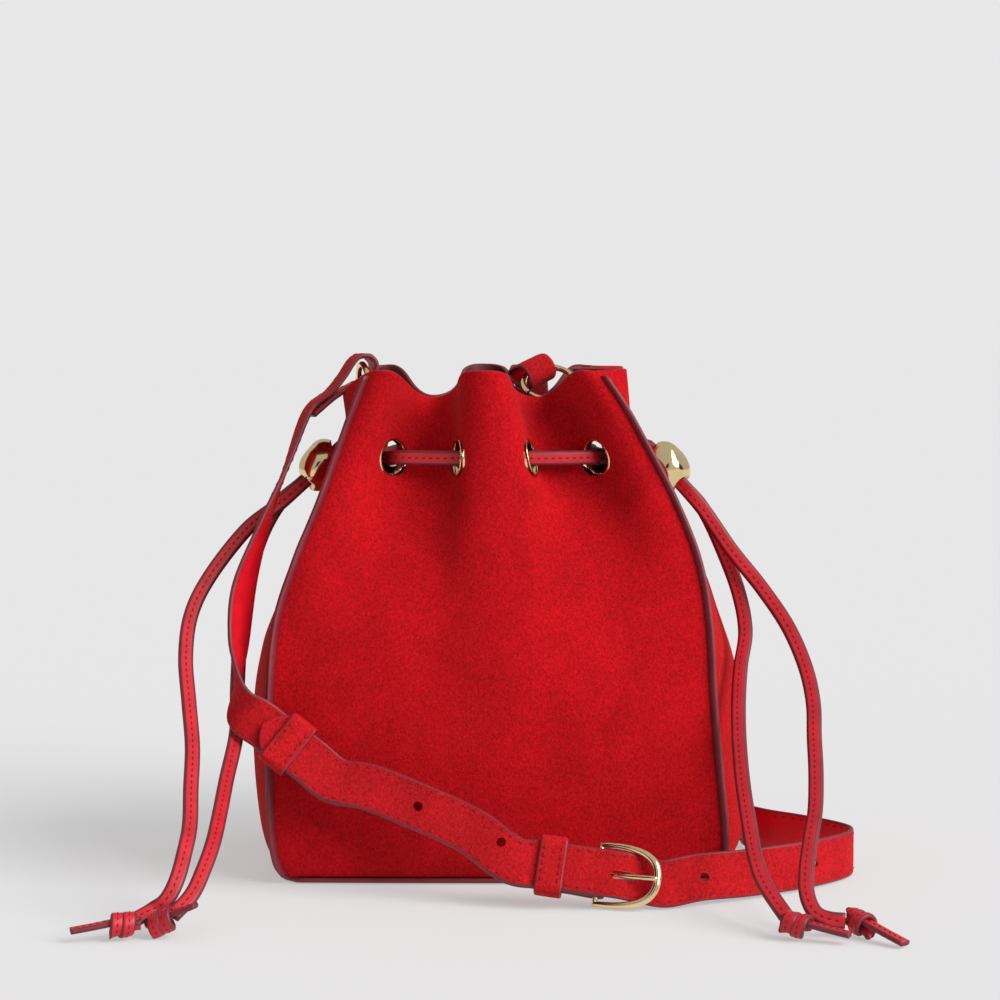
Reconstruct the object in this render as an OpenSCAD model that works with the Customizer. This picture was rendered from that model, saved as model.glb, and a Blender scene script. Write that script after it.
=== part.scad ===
// Drawstring bucket bag in suede, with a buckled shoulder strap.
// Origin: centre of the base, on the surface that the bag stands on. Front is -Y, left is -X.

/* [Bag body] */
// Width of the front panel between its side seams
body_w = 187; // [184:1:190]
// Height of the gathered top edge
body_h = 212; // [210:1:214]
// Depth of the bag between its front and back seams
body_d = 112; // [110:1:114]
// Thickness of the suede panels
hide_t = 1.8; // [1.4:0.1:2]
// Thickness of the lining
lining_t = 0.6; // [0.5:0.1:0.8]
// Height at which the lining ends, under the eyelets
lining_h = 156; // [140:1:160]
// How far the turned-out seams stand proud
welt_h = 3; // [2:0.5:4]
// Thickness of the turned-out seams
welt_t = 2.4; // [2:0.2:2.8]

/* [Eyelets] */
// Height of the row of eyelets
eyelet_z = 175; // [174:1:176]
// Inner radius of an eyelet
eyelet_r = 7; // [6.8:0.1:7.2]
// Width of an eyelet's rim
eyelet_rim = 1.3; // [1:0.1:1.6]

/* [Drawcords] */
// Width of a drawcord
cord_w = 6.2; // [5.6:0.2:6.4]
// Thickness of a drawcord
cord_t = 2.6; // [2:0.1:2.7]
// Radius of the round part of a gold bead
bead_r = 11; // [10.5:0.5:11.5]
// Radius of the hole through a bead
bead_bore_r = 4.7; // [4.6:0.1:5]
// How far a bead slides down the straight part of its cords
bead_travel = 12; // [6:1:12]

/* [Shoulder strap] */
// Width of the strap
strap_w = 19; // [18:0.5:19]
// Thickness of the strap
strap_t = 1.9; // [1.6:0.1:2]
// Width of the strap where it goes round a ring
strap_end_w = 14; // [12:0.5:14]
// Radius of the strap's adjustment holes
hole_r = 1.9; // [1.5:0.1:2]

/* [Rings] */
// Radius of a ring at the middle of its wire
ring_r = 10.8; // [10.5:0.1:11]
// Radius of the ring's wire
wire_r = 1.3; // [1.2:0.05:1.4]

/* [Buckle] */
// Half height of the buckle at the middle of its frame
buckle_half_h = 12; // [11.8:0.1:12.4]
// Radius of the bar that the prong turns on
bar_r = 1.1; // [1:0.05:1.2]
// Radius of the prong
prong_r = 1.15; // [1:0.05:1.2]

/* [Hidden] */

red = "firebrick";
dark_red = "darkred";
gold = "gold";

wall_z = 2.2;                       // height of the walls' bottom edge, on top of the base
kx = body_w / 187;
ky = body_d / 112;
kz = body_h / 212;

// Outlines of the bag: [height, size] pairs, smoothed by curve()
LEFT_SEAM = [[0, 86], [8, 91], [20, 93], [43, 94], [76, 94], [109, 91], [134, 83],
    [158, 73], [183, 64], [198, 58.5], [212, 53]];
RIGHT_SEAM = [[0, 87], [8, 91], [20, 92], [43, 90], [76, 87], [109, 85], [134, 80.5],
    [158, 71], [183, 58], [198, 49.5], [212, 40]];
SEAM_DEPTH = [[0, 50], [8, 54], [25, 56], [60, 56], [100, 52], [134, 45.5], [158, 40], [176, 36.5],
    [212, 36]];
FRONT_BULGE = [[0, 1], [15, 3], [50, 6], [100, 8], [140, 7], [176, 6], [212, 6]];
LEFT_BULGE = [[0, 6], [10, 9], [35, 11], [60, 11.5], [93, 8], [117, 3], [134, 0], [212, 0]];
RIGHT_BULGE = [[0, 8], [14, 12], [43, 14], [76, 15], [109, 8], [134, 4], [150, 0], [212, 0]];
PLEAT = [[0, 0], [80, 0], [110, 2.2], [140, 6.5], [162, 10.5], [176, 12], [212, 12]];
FLARE = [[0, 0], [176, 0], [195, 2], [212, 4]];
LEAN = [[0, 0], [180, 0], [196, 3], [212, 8]];
DROP = [[0, 0], [176, 0], [195, 5], [212, 12]];
LEFT_FOLD = [[0, 0], [120, 0], [150, 4], [176, 7], [184, 3], [190, -2], [200, -8], [212, -14]];
RIGHT_FOLD = [[0, 0], [120, 0], [150, 5], [176, 9], [212, 8]];
LEFT_DROP = [[0, 0], [176, 0], [195, 5], [212, 12.5]];
LEFT_LOBE = [[0, 0], [150, 0], [176, 2], [212, 3]];
RIGHT_LOBE = [[0, 0], [150, 0], [176, 2], [190, 5], [200, 10], [212, 17]];

pleat_pitch = 378.95;               // degrees of pleat wave from the panel's middle to a seam
steep = 0.055;                      // how much the middle pleat's sides are steepened
flank_s = 0.65;                     // where the outer eyelets sit, as a share of the half panel
inner_s = 0.2375;                   // where the inner eyelets sit
hole_spare = 0.57;                  // how much wider than an eyelet's hole the panel's hole is

function clamp01(k) = min(1, max(0, k));
function unit(v) = v / norm(v);
function ortho(w, t) = unit(w - (w * t) * t);
function seg(T, z, i = 0) = (i >= len(T) - 2 || z < T[i + 1][0]) ? i : seg(T, z, i + 1);
function slope(T, i) =
    let (a = T[max(i - 1, 0)], b = T[min(i + 1, len(T) - 1)])
    (b[1] - a[1]) / (b[0] - a[0]);
function curve(T, z) =
    let (i = seg(T, z), h = T[i + 1][0] - T[i][0], k = clamp01((z - T[i][0]) / h),
        m0 = slope(T, i) * h, m1 = slope(T, i + 1) * h)
    (2 * k * k * k - 3 * k * k + 1) * T[i][1] + (k * k * k - 2 * k * k + k) * m0
    + (3 * k * k - 2 * k * k * k) * T[i + 1][1] + (k * k * k - k * k) * m1;

// A point on the outside of the front panel: s from -1 at the left seam to 1 at the right
function front_at(s, z) =
    let (l = -curve(LEFT_SEAM, z), r = curve(RIGHT_SEAM, z), a = curve(PLEAT, z),
        p = pleat_pitch * s,
        k = steep * a / 12 * (abs(p) < 180 ? 1 : 0.35),
        valley = abs(s) > 0.95 ? 0 : pow((1 - cos(p)) / 2, 1.5))
    [kx * ((l + r) / 2 + (r - l) / 2 * (s + k * sin(2 * p))),
        ky * (-curve(SEAM_DEPTH, z) - curve(FRONT_BULGE, z) * (1 - s * s)
            - a * (cos(p) - cos(pleat_pitch))
            + curve(LEAN, z) * valley - curve(FLARE, z) * (1 - valley) * (1 - s * s)),
        kz * (z - curve(DROP, z) * valley)];

// A point on the outside of a gusset: t from -1 at the front seam to 1 at the back seam
function gusset_at(side, t, z) =
    let (x = curve(side < 0 ? LEFT_SEAM : RIGHT_SEAM, z),
        b = curve(side < 0 ? LEFT_BULGE : RIGHT_BULGE, z),
        f = curve(side < 0 ? LEFT_FOLD : RIGHT_FOLD, z),
        a = curve(side < 0 ? LEFT_LOBE : RIGHT_LOBE, z),
        y = ky * curve(SEAM_DEPTH, z) - 1.35 * hide_t,
        drop = side < 0 ? curve(LEFT_DROP, z) : 0)
    [side * kx * (x + b * (1 - t * t) + a * (1 - cos(360 * t)) / 2 - f * pow(cos(90 * t), 2)),
        y * t, kz * (z - drop * pow(cos(90 * t), 2))];

// Points on each wall moved in by d along the wall's own normal
function front_in(s, z, d) =
    let (u = front_at(s + 0.01, z) - front_at(s - 0.01, z), v = front_at(s, z + 0.5) - front_at(s, z - 0.5))
    front_at(s, z) - d * unit(cross(u, v));
function back_in(s, z, d) = let (p = front_in(s, z, d)) [p.x, -p.y, p.z];
function gusset_in(side, t, z, d) =
    let (u = gusset_at(side, t + 0.01, z) - gusset_at(side, t - 0.01, z),
        v = gusset_at(side, t, z + 0.5) - gusset_at(side, t, z - 0.5))
    gusset_at(side, t, z) - side * d * unit(cross(u, v));

// A closed solid through rings of points, each ring with the same number of points
module tube(rings) {
    n = len(rings[0]);
    m = len(rings);
    points = [for (r = rings) each r];
    sides = [for (j = [0:m - 2], i = [0:n - 1])
        let (a = j * n + i, b = j * n + (i + 1) % n)
        each [[a, a + n, b + n], [a, b + n, b]]];
    caps = [for (i = [1:n - 2]) each [[0, i, i + 1], [(m - 1) * n, (m - 1) * n + i + 1, (m - 1) * n + i]]];
    polyhedron(points, concat(sides, caps), convexity = 8);
}

// A ring of tube sections joined end to end
module hoop(rings) {
    n = len(rings[0]);
    m = len(rings);
    points = [for (r = rings) each r];
    sides = [for (j = [0:m - 1], i = [0:n - 1])
        let (next = (i + 1) % n, k = (j + 1) % m, a = j * n + i, b = j * n + next, c = k * n + i,
            d = k * n + next)
        each [[a, c, d], [a, d, b]]];
    polyhedron(points, sides, convexity = 8);
}

// A thin wall between two grids of points, rows running upwards
module wall(outer, inner) {
    m = len(outer);
    n = len(outer[0]);
    points = concat([for (r = outer) each r], [for (r = inner) each r]);
    k = m * n;
    skins = [for (j = [0:m - 2], i = [0:n - 2])
        let (a = j * n + i, b = a + 1, c = a + n, d = c + 1)
        each [[a, c, d], [a, d, b], [k + a, k + d, k + c], [k + a, k + b, k + d]]];
    ends = [for (i = [0:n - 2]) let (a = i, b = i + 1, t = (m - 1) * n)
        each [[a, b, k + b], [a, k + b, k + a], [t + a, k + t + b, t + b], [t + a, k + t + a, k + t + b]]];
    edges = [for (j = [0:m - 2]) let (a = j * n, c = a + n, r = a + n - 1, q = c + n - 1)
        each [[a, k + c, c], [a, k + a, k + c], [r, q, k + q], [r, k + q, k + r]]];
    polyhedron(points, concat(skins, ends, edges), convexity = 12);
}

function steps(n, a, b) = [for (i = [0:n]) a + (b - a) * i / n];
low_rows = steps(8, wall_z, 120);
wall_rows = concat(low_rows, steps(11, 128, 212));
front_columns = 28;
side_columns = 12;

module front_wall() {
    columns = steps(front_columns, -1, 1);
    wall([for (z = wall_rows) [for (s = columns) front_at(s, z)]],
        [for (z = wall_rows) [for (s = columns) front_in(s, z, hide_t)]]);
}

module gusset_wall(side) {
    t_steps = steps(side_columns, -side, side);
    wall([for (z = wall_rows) [for (t = t_steps) gusset_at(side, t, z)]],
        [for (z = wall_rows) [for (t = t_steps) gusset_in(side, t, z, hide_t)]]);
}

// Puts children at a point with Z along one direction and X near another
module place(p, z_dir, x_near) {
    z = unit(z_dir);
    x = ortho(x_near, z);
    y = cross(z, x);
    multmatrix([[x.x, y.x, z.x, p.x], [x.y, y.y, z.y, p.y], [x.z, y.z, z.z, p.z], [0, 0, 0, 1]])
        children();
}

module at_front_eyelet(s) {
    place(front_at(s, eyelet_z), front_at(s, eyelet_z) - front_in(s, eyelet_z, 1), [0, 0, 1]) children();
}
module at_side_eyelet(side) {
    place(gusset_at(side, 0, eyelet_z - 2), [side, 0, 0], [0, 0, 1]) children();
}
EYELETS = [-flank_s, -inner_s, inner_s, flank_s];

module eyelet() {
    color(gold)
        rotate_extrude($fn = 48)
            polygon([[eyelet_r, -hide_t - 1], [eyelet_r + eyelet_rim, -hide_t - 1],
                [eyelet_r + eyelet_rim, -hide_t - 0.3], [eyelet_r + 0.5, -hide_t - 0.3],
                [eyelet_r + 0.5, 0.3], [eyelet_r + eyelet_rim, 0.3],
                [eyelet_r + eyelet_rim - 0.2, 0.8], [eyelet_r + 0.3, 1.1], [eyelet_r, 0.8]]);
}
module eyelet_hole() {
    translate([0, 0, -hide_t - 4]) cylinder(r = eyelet_r + hole_spare, h = hide_t + 8, $fn = 48);
}

module front_panel() {
    color(red)
        difference() {
            front_wall();
            for (s = EYELETS) at_front_eyelet(s) eyelet_hole();
        }
}
module back_panel() {
    color(red)
        mirror([0, 1, 0])
            difference() {
                front_wall();
                for (s = EYELETS) at_front_eyelet(s) eyelet_hole();
            }
}
module side_panel(side) {
    color(red)
        difference() {
            gusset_wall(side);
            at_side_eyelet(side) eyelet_hole();
        }
}
module front_eyelet(i) {
    at_front_eyelet(EYELETS[i]) eyelet();
}
module back_eyelet(i) {
    mirror([0, 1, 0]) at_front_eyelet(EYELETS[i]) eyelet();
}

// The bag's outline at a height, moved in by d, anticlockwise from the left front corner
s_end = 1 - 2 / front_columns;
t_end = 1 - 2 / side_columns;
function outline(z, d) = concat(
    [for (s = steps(front_columns - 2, -s_end, s_end)) front_in(s, z, d)],
    [for (t = steps(side_columns - 2, -t_end, t_end)) gusset_in(1, t, z, d)],
    [for (s = steps(front_columns - 2, s_end, -s_end)) back_in(s, z, d)],
    [for (t = steps(side_columns - 2, t_end, -t_end)) gusset_in(-1, t, z, d)]);
function flat(p) = [for (q = p) [q.x, q.y]];
// The same outline between two of the walls' rows, where the walls are straight
function row_under(z, i = 0) = wall_rows[i + 1] >= z ? i : row_under(z, i + 1);
function wall_line(z, d) =
    let (i = row_under(z), low = wall_rows[i], high = wall_rows[i + 1], k = (z - low) / (high - low))
    (1 - k) * outline(low, d) + k * outline(high, d);

module base_panel() {
    color(red) linear_extrude(wall_z - 0.1) polygon(flat(outline(wall_z, 0)));
}
module base_board() {
    color(dark_red)
        translate([0, 0, wall_z]) linear_extrude(1.2) polygon(flat(outline(wall_z, hide_t + 1.5)));
}

// The lining is one bag: up its outside, over its rim, down its inside
module lining() {
    gap = hide_t + 1.6;
    floor_z = wall_z + 1.5;
    heights = concat([floor_z], [for (z = wall_rows) if (z > floor_z && z < lining_h - 3) z], [lining_h]);
    top = len(heights) - 1;
    level = function (ring, z) [for (p = ring) [p.x, p.y, z]];
    out = [for (z = heights) level(wall_line(z, gap), z)];
    in = [for (i = [top:-1:0])
        level(wall_line(heights[i], gap + lining_t), heights[i] + (i == 0 ? lining_t : 0))];
    rings = concat([[for (p = out[0]) [0.02 * p.x, 0.02 * p.y, floor_z]]], out, in,
        [[for (p = in[top]) [0.02 * p.x, 0.02 * p.y, floor_z + lining_t]]]);
    color(dark_red) tube(rings);
}

// A turned-out seam: a strip that stands out at the corner between two panels
module welt(side, front) {
    zs = concat([wall_z + 0.6], [for (z = wall_rows) if (z > wall_z && z < body_h - 4) z], [body_h - 3]);
    out_dir = unit([side, front ? -1 : 1, 0]);
    across = unit([side, front ? 1 : -1, 0]);
    flip = side * (front ? 1 : -1);
    color(dark_red)
        tube([for (z = zs)
            let (p = front_at(side, z), c = [p.x, front ? p.y : -p.y, p.z] + 0.08 * out_dir,
                a = across * flip * welt_t / 2, b = out_dir * welt_h)
            [c - a, c - a + 0.85 * b, c - 0.6 * a + b, c + 0.6 * a + b, c + a + 0.85 * b, c + a]]);
}
module base_welt() {
    ring = outline(wall_z, 0);
    c = len(ring);
    color(dark_red)
        hoop([for (i = [0:c - 1])
            let (p = ring[i], t = unit(ring[(i + 1) % c] - ring[(i + c - 1) % c]),
                out_dir = unit([t.y, -t.x, 0]), o = [p.x, p.y, 0] + 0.15 * out_dir)
            [o + [0, 0, 2.1], o + 1.4 * out_dir + [0, 0, 2], o + 1.9 * out_dir + [0, 0, 1.2],
                o + 1.4 * out_dir + [0, 0, 0.4], o + [0, 0, 0.3]]]);
}

// A smooth line through points, n steps between each pair
function spline_at(a, b, c, d, k) =
    0.5 * (2 * b + (c - a) * k + (2 * a - 5 * b + 4 * c - d) * k * k + (3 * b - a - 3 * c + d) * k * k * k);
function spline(P, n) = concat(
    [for (i = [0:len(P) - 2], k = [0:n - 1])
        spline_at(P[max(i - 1, 0)], P[i], P[i + 1], P[min(i + 2, len(P) - 1)], k / n)],
    [P[len(P) - 1]]);
function tangent(P, i) = unit(P[min(i + 1, len(P) - 1)] - P[max(i - 1, 0)]);

// A flat strip along a line: W is its width direction at each point, w and t its width and thickness
function strip_rings(P, W, w, t) =
    [for (i = [0:len(P) - 1])
        let (d = tangent(P, i), a = ortho(W[i], d), b = cross(d, a),
            hw = (is_list(w) ? w[i] : w) / 2, ht = t / 2, c = 0.45 * t)
        [P[i] - a * hw + b * (ht - c), P[i] - a * hw - b * (ht - c), P[i] - a * (hw - c) - b * ht,
            P[i] + a * (hw - c) - b * ht, P[i] + a * hw - b * (ht - c), P[i] + a * hw + b * (ht - c),
            P[i] + a * (hw - c) + b * ht, P[i] - a * (hw - c) + b * ht]];
module strip(P, W, w, t) {
    tube(strip_rings(P, W, w, t));
}

// Beads: the straight line that both cords of one side follow through the bead
LEFT_BEAD = [-76, -4, 170];
RIGHT_BEAD = [71, -4, 169];
LEFT_DIR = unit([-0.74, -0.15, -0.655]);
RIGHT_DIR = unit([0.68, -0.15, -0.72]);
function bead_at(side) = side < 0 ? LEFT_BEAD : RIGHT_BEAD;
function bead_dir(side) = side < 0 ? LEFT_DIR : RIGHT_DIR;
cord_gap = cord_t / 2 + 0.15;

// The way in from the middle of the bag to the middle of the bead; face is -1 for the front cord
function side_in(side, face) = let (c = bead_at(side), d = bead_dir(side), o = [0, face * cord_gap, 0],
    x = abs(gusset_at(side, 0, eyelet_z).x))
    [[side * (x - 11.5), face * 17, eyelet_z - 1], [side * (x - 8), face * 9.5, eyelet_z - 1.5],
        [side * (x - 4), face * 3.2, eyelet_z - 1.8], [side * (x + 2), face * cord_gap, eyelet_z - 1.2],
        c - 13 * d + o, c - 7 * d + o, c + o];
MIDDLE = [[-42, 25], [-29, 28.5], [-15, 30.5], [0, 31], [14, 30.5], [27, 28], [39, 24]];

module drawcord(face) {
    left = side_in(-1, face);
    right = side_in(1, face);
    P = concat([for (i = [6:-1:0]) left[i]], [for (m = MIDDLE) [m.x, face * m.y, eyelet_z]], right);
    W = [for (i = [0:len(P) - 1]) [0, 0, 1]];
    color(red) strip(P, W, cord_w, cord_t);
}

// Free ends of the drawcords, from inside the bead to the knot
LEFT_FRONT = [[-94, -9, 154], [-107, -16, 144], [-121, -28, 126], [-128, -40, 111], [-129, -54, 95],
    [-126, -70, 78], [-123, -86, 63], [-122, -102, 49], [-121, -116, 37], [-122, -128, 28],
    [-124, -137, 19.5], [-127.5, -141, 13], [-132.5, -142, 9.5], [-138.5, -147.5, 7]];
LEFT_BACK = [[-94, -5, 154], [-102, -8, 139], [-107, -16, 119], [-109, -27, 99], [-109, -42, 80],
    [-108, -58, 64], [-110, -80, 49], [-111, -100, 38], [-112, -116, 30], [-114.5, -128, 22],
    [-118, -138, 14.5], [-124.5, -146.5, 8.2]];
RIGHT_FRONT = [[87, -9.3, 151], [98, -14, 135], [110, -22, 120], [120, -34, 105], [126, -47, 90],
    [128, -60, 77], [127, -74, 65], [126, -90, 53], [124, -106, 41], [120.5, -120, 31], [118, -131, 22],
    [117.5, -139, 14.5], [120, -144.5, 9], [125, -147, 7], [131, -147.5, 6.5]];
RIGHT_BACK = [[87, -5.6, 151], [95, -8, 134], [101, -16, 117], [103, -27, 102], [100, -40, 89],
    [98, -54, 76], [97, -70, 63], [97, -88, 49], [98, -108, 35], [99, -122, 26], [101.5, -134, 18],
    [108.5, -148, 8.5]];
TAILS = [LEFT_FRONT, LEFT_BACK, RIGHT_FRONT, RIGHT_BACK];

module tail(i) {
    side = i < 2 ? -1 : 1;
    face = i % 2 == 0 ? -1 : 1;
    c = bead_at(side) + [0, face * cord_gap, 0];
    P = concat([c, c + bead_travel * bead_dir(side)], TAILS[i]);
    n = len(P);
    W = [for (k = [0:n - 1]) k < 2 ? [0, 0, 1] : [side, 0, 0.35]];
    color(red) strip(P, W, cord_w, cord_t);
}

// Knots: where each tail ends, the direction it leaves in, and the length of the loose tip
KNOTS = [[[-142.5, -151.5, 6], [-0.96, -0.27, -0.06], 20], [[-128, -149.5, 6.2], [0.87, -0.16, 0.47], 15],
    [[136.5, -148, 6], [0.64, -0.75, -0.17], 23], [[112, -152, 6], [0.93, -0.36, -0.1], 21]];
knot_r = 5.3;
knot_half_l = 1.5;

module knot(i) {
    k = KNOTS[i];
    color(red) {
        hull()
            for (j = [-1, 1])
                translate(k[0] + knot_half_l * j * unit(k[1])) sphere(r = knot_r, $fn = 24);
        place(k[0], k[1], cross(k[1], [0, 0, 1]))
            translate([-cord_w / 2, -cord_t / 2, 4]) cube([cord_w, cord_t, k[2] - 4]);
    }
}

// A gold bead: three lumps blended together, with one hole for both cords
module bead(side) {
    color(gold)
        place(bead_at(side), bead_dir(side), [0, 0, 1])
            difference() {
                hull() {
                    sphere(r = bead_r - 1.5, $fn = 32);
                    translate([2.5, 1.5, -4]) sphere(r = bead_r - 4, $fn = 32);
                    translate([-2, 2, 4]) sphere(r = bead_r - 4.2, $fn = 32);
                    translate([1, -2.5, 3.5]) sphere(r = bead_r - 4.5, $fn = 32);
                }
                translate([0, 0, -20]) cylinder(r = bead_bore_r, h = 40, $fn = 48);
            }
}

// Rings: centre, direction from the tab to the strap, direction across
LEFT_RING = [-57.5, -2, 202.5];
LEFT_UP = unit([-0.12, 0, 1]);
LEFT_ACROSS = ortho([0.27, -0.96, 0], LEFT_UP);
RIGHT_RING = [21, 3, 205];
RIGHT_UP = unit([-0.6, 0.63, 0.49]);
RIGHT_ACROSS = ortho([0.8, 0.48, 0.37], RIGHT_UP);
function ring_at(side) = side < 0 ? LEFT_RING : RIGHT_RING;
function ring_up(side) = side < 0 ? LEFT_UP : RIGHT_UP;
function ring_across(side) = side < 0 ? LEFT_ACROSS : RIGHT_ACROSS;
knuckle_a = 35;                     // angle from the tab to the gate's hinge
gate_a = 50;                        // angle that the gate covers
gate_gap = 6.5;                     // angle left open between the gate's tip and the ring

// Ring axes: X across, Y from the tab to the strap, Z through the ring
module in_ring(side) {
    place(ring_at(side), cross(ring_across(side), ring_up(side)), ring_across(side)) children();
}
module wire_arc(from, to) {
    rotate([0, 0, from])
        rotate_extrude(angle = to - from, $fn = 96) translate([ring_r, 0]) circle(r = wire_r, $fn = 24);
}
module at_knuckle(a = 0) {
    rotate([0, 0, -90 - knuckle_a + a]) translate([ring_r, 0, 0]) children();
}
module ring(side) {
    color(gold)
        in_ring(side) {
            wire_arc(-90 - knuckle_a + 11, 270 - knuckle_a - gate_a - gate_gap);
            for (m = [0, 1])
                mirror([0, 0, m]) {
                    at_knuckle()
                        difference() {
                            translate([0, 0, 0.85]) cylinder(r = 1.7, h = 0.8, $fn = 32);
                            cylinder(r = 0.75, h = 4, $fn = 32);
                        }
                    at_knuckle(4) translate([-0.9, 0.3, 0.85]) cube([1.8, 3, 0.8]);
                }
        }
}
module ring_gate(side) {
    color(gold)
        in_ring(side)
            difference() {
                union() {
                    wire_arc(-90 - knuckle_a - gate_a, -90 - knuckle_a - 11);
                    at_knuckle() translate([0, 0, -0.7]) cylinder(r = 1.5, h = 1.4, $fn = 32);
                    at_knuckle() translate([-0.9, -3, -0.7]) cube([1.8, 2.2, 1.4]);
                }
                at_knuckle() translate([0, 0, -3]) cylinder(r = 0.75, h = 6, $fn = 32);
            }
}
module gate_pin(side) {
    color(gold)
        in_ring(side)
            at_knuckle() {
                translate([0, 0, -2.6]) cylinder(r = 0.7, h = 5.2, $fn = 32);
                for (m = [-1, 1]) translate([0, 0, 2.7 * m]) sphere(r = 1, $fn = 32);
            }
}

// Tabs: a narrow strip folded through the bottom of each ring and sewn inside the gusset
tab_w = 6;
tab_t = 1.4;
module tab(side) {
    c = ring_at(side) - (ring_r - 0.5) * ring_up(side);
    u = ring_up(side);
    q = cross(ring_across(side), u);
    r = 3.2;
    wall_x = side * (abs(gusset_in(side, 0, 185, hide_t).x) - 0.3 - tab_t / 2);
    foot = [wall_x, 0, 184];
    knee = [side * (abs(gusset_in(side, 0, 195, hide_t).x) - 2.8), 0, 192];
    P = concat([foot], side > 0 ? [knee, c - 6 * u + 1.5 * q] : [c - 4 * u + 2.8 * q],
        [c - 2 * u + r * q, c + 1.6 * u + 0.8 * r * q, c + 3.1 * u,
            c + 1.6 * u - 0.8 * r * q, c - 2 * u - r * q, c - 5.5 * u - 1.2 * q]);
    W = [for (k = [0:len(P) - 1]) k < 2 ? [0, -1, 0] : ring_across(side)];
    color(red) strip(spline(P, 2), spline(W, 2), tab_w, tab_t);
}

// The strap where it goes round a ring: in its own plane, along a and up b, round a centre
loop_r = 4.9;
function ring_loop(c, a, b) = [c + 9 * a - 2.8 * b, c + 3 * a - 4.6 * b, c - 1.2 * a - loop_r * b,
    c - 4.4 * a - 2.6 * b, c - 5.2 * a, c - 4.4 * a + 2.6 * b, c - 1.2 * a + loop_r * b,
    c + 3 * a + 4.6 * b, c + 9 * a + 2.8 * b];

// The two layers of the strap run together along these lines through the keepers and the buckle
KEEPER = [-86, -68, 61];
KEEPER_DIR = unit([0.79, -0.12, -0.6]);
KEEPER_UP = ortho([0.5, 0.3, 0.8], KEEPER_DIR);
KEEPER_OUT = cross(KEEPER_DIR, KEEPER_UP);
BUCKLE = [50, -98.5, 13];
BUCKLE_DIR = unit([0.982, -0.08, -0.13]);
BUCKLE_UP = ortho([0.1, 0.36, 0.93], BUCKLE_DIR);
BUCKLE_OUT = cross(BUCKLE_DIR, BUCKLE_UP);
inner_n = -2.0;                     // middle of the buckle strap, behind the line
outer_n = 1.4;                      // middle of the billet, in front of the line
bar_x = -11;
bar_n = -4.6;
// Width direction of the strap between the buckle and the keeper
SLOPE_UP = [[0.24, 0.34, 0.9], [0.34, 0.32, 0.88], [0.42, 0.3, 0.85]];
function reverse(v) = [for (i = [len(v) - 1:-1:0]) v[i]];
function keeper_pt(x, n) = KEEPER + x * KEEPER_DIR + n * KEEPER_OUT;
function buckle_pt(x, n) = BUCKLE + x * BUCKLE_DIR + n * BUCKLE_OUT;

LEFT_WAY = ortho([-0.74, -0.2, -0.64], LEFT_ACROSS);
LEFT_LOOP_UP = cross(LEFT_WAY, LEFT_ACROSS);
left_loop_c = LEFT_RING + (ring_r - 1.3) * LEFT_UP;
RIGHT_WAY = ortho([-0.33, 0.94, 0.1], RIGHT_ACROSS);
RIGHT_LOOP_UP = -cross(RIGHT_WAY, RIGHT_ACROSS);
right_loop_c = RIGHT_RING + (ring_r - 1.3) * RIGHT_UP;

module buckle_strap() {
    c = left_loop_c;
    loop = concat([c + 30 * LEFT_WAY - 1.1 * LEFT_LOOP_UP, c + 18 * LEFT_WAY - 1.2 * LEFT_LOOP_UP],
        ring_loop(c, LEFT_WAY, LEFT_LOOP_UP),
        [c + 18 * LEFT_WAY + 1.2 * LEFT_LOOP_UP, c + 30 * LEFT_WAY + 1.1 * LEFT_LOOP_UP]);
    drop = [[-89, -22, 172], [-98, -31, 148], [-106, -40, 122], [-108, -48, 100], [-108, -57, 86]];
    run = [keeper_pt(-24, inner_n), keeper_pt(-12, inner_n), keeper_pt(0, inner_n), keeper_pt(12, inner_n),
        keeper_pt(24, inner_n), [-53, -72.5, 44], [-33, -77.5, 37], [-12, -83.5, 28.5],
        buckle_pt(-46, inner_n), buckle_pt(-34, inner_n), buckle_pt(-22, inner_n), buckle_pt(-14, inner_n)];
    fold = [buckle_pt(bar_x + 1, bar_n + 2.5), buckle_pt(bar_x + 2.6, bar_n),
        buckle_pt(bar_x + 1, bar_n - 2.5), buckle_pt(-14, bar_n - 2.4), buckle_pt(-22, -5.2),
        buckle_pt(-34, -4.8), buckle_pt(-44, -4.8)];
    P = concat(loop, drop, run, fold);
    W = concat([for (p = loop) LEFT_ACROSS],
        [[0.1, -1, 0], [-0.15, -1, 0], [-0.4, -0.9, 0], [-0.3, -0.9, 0.2], [0.1, -0.75, 0.6],
            [0.45, -0.3, 0.8]],
        [for (i = [0:3]) KEEPER_UP], reverse(SLOPE_UP),
        [for (i = [0:3]) BUCKLE_UP], [for (p = fold) BUCKLE_UP]);
    w = concat([for (p = loop) strap_end_w], [16, 18], [for (i = [2:len(drop) - 1]) strap_w],
        [for (p = run) strap_w], [for (p = fold) strap_w]);
    color(red)
        difference() {
            strip(spline(P, 2), spline(W, 2), spline(w, 2), strap_t);
            place(BUCKLE, BUCKLE_DIR, BUCKLE_UP)
                translate([-2, bar_n - 5, bar_x - 6]) cube([4, 10, 12]);
        }
}

// The holes outside the buckle: where each one is, and the direction through it
STRAP_HOLES = [[[0.5, -90, 24.8], [0, -1, 0.3]], [[-33, -81.5, 38], [0, -1, 0.12]],
    [[82, -90, 11.1], [0, -1, 0.3]], [[129, -60, 10.4], [0.6, -1, 0]]];

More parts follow.
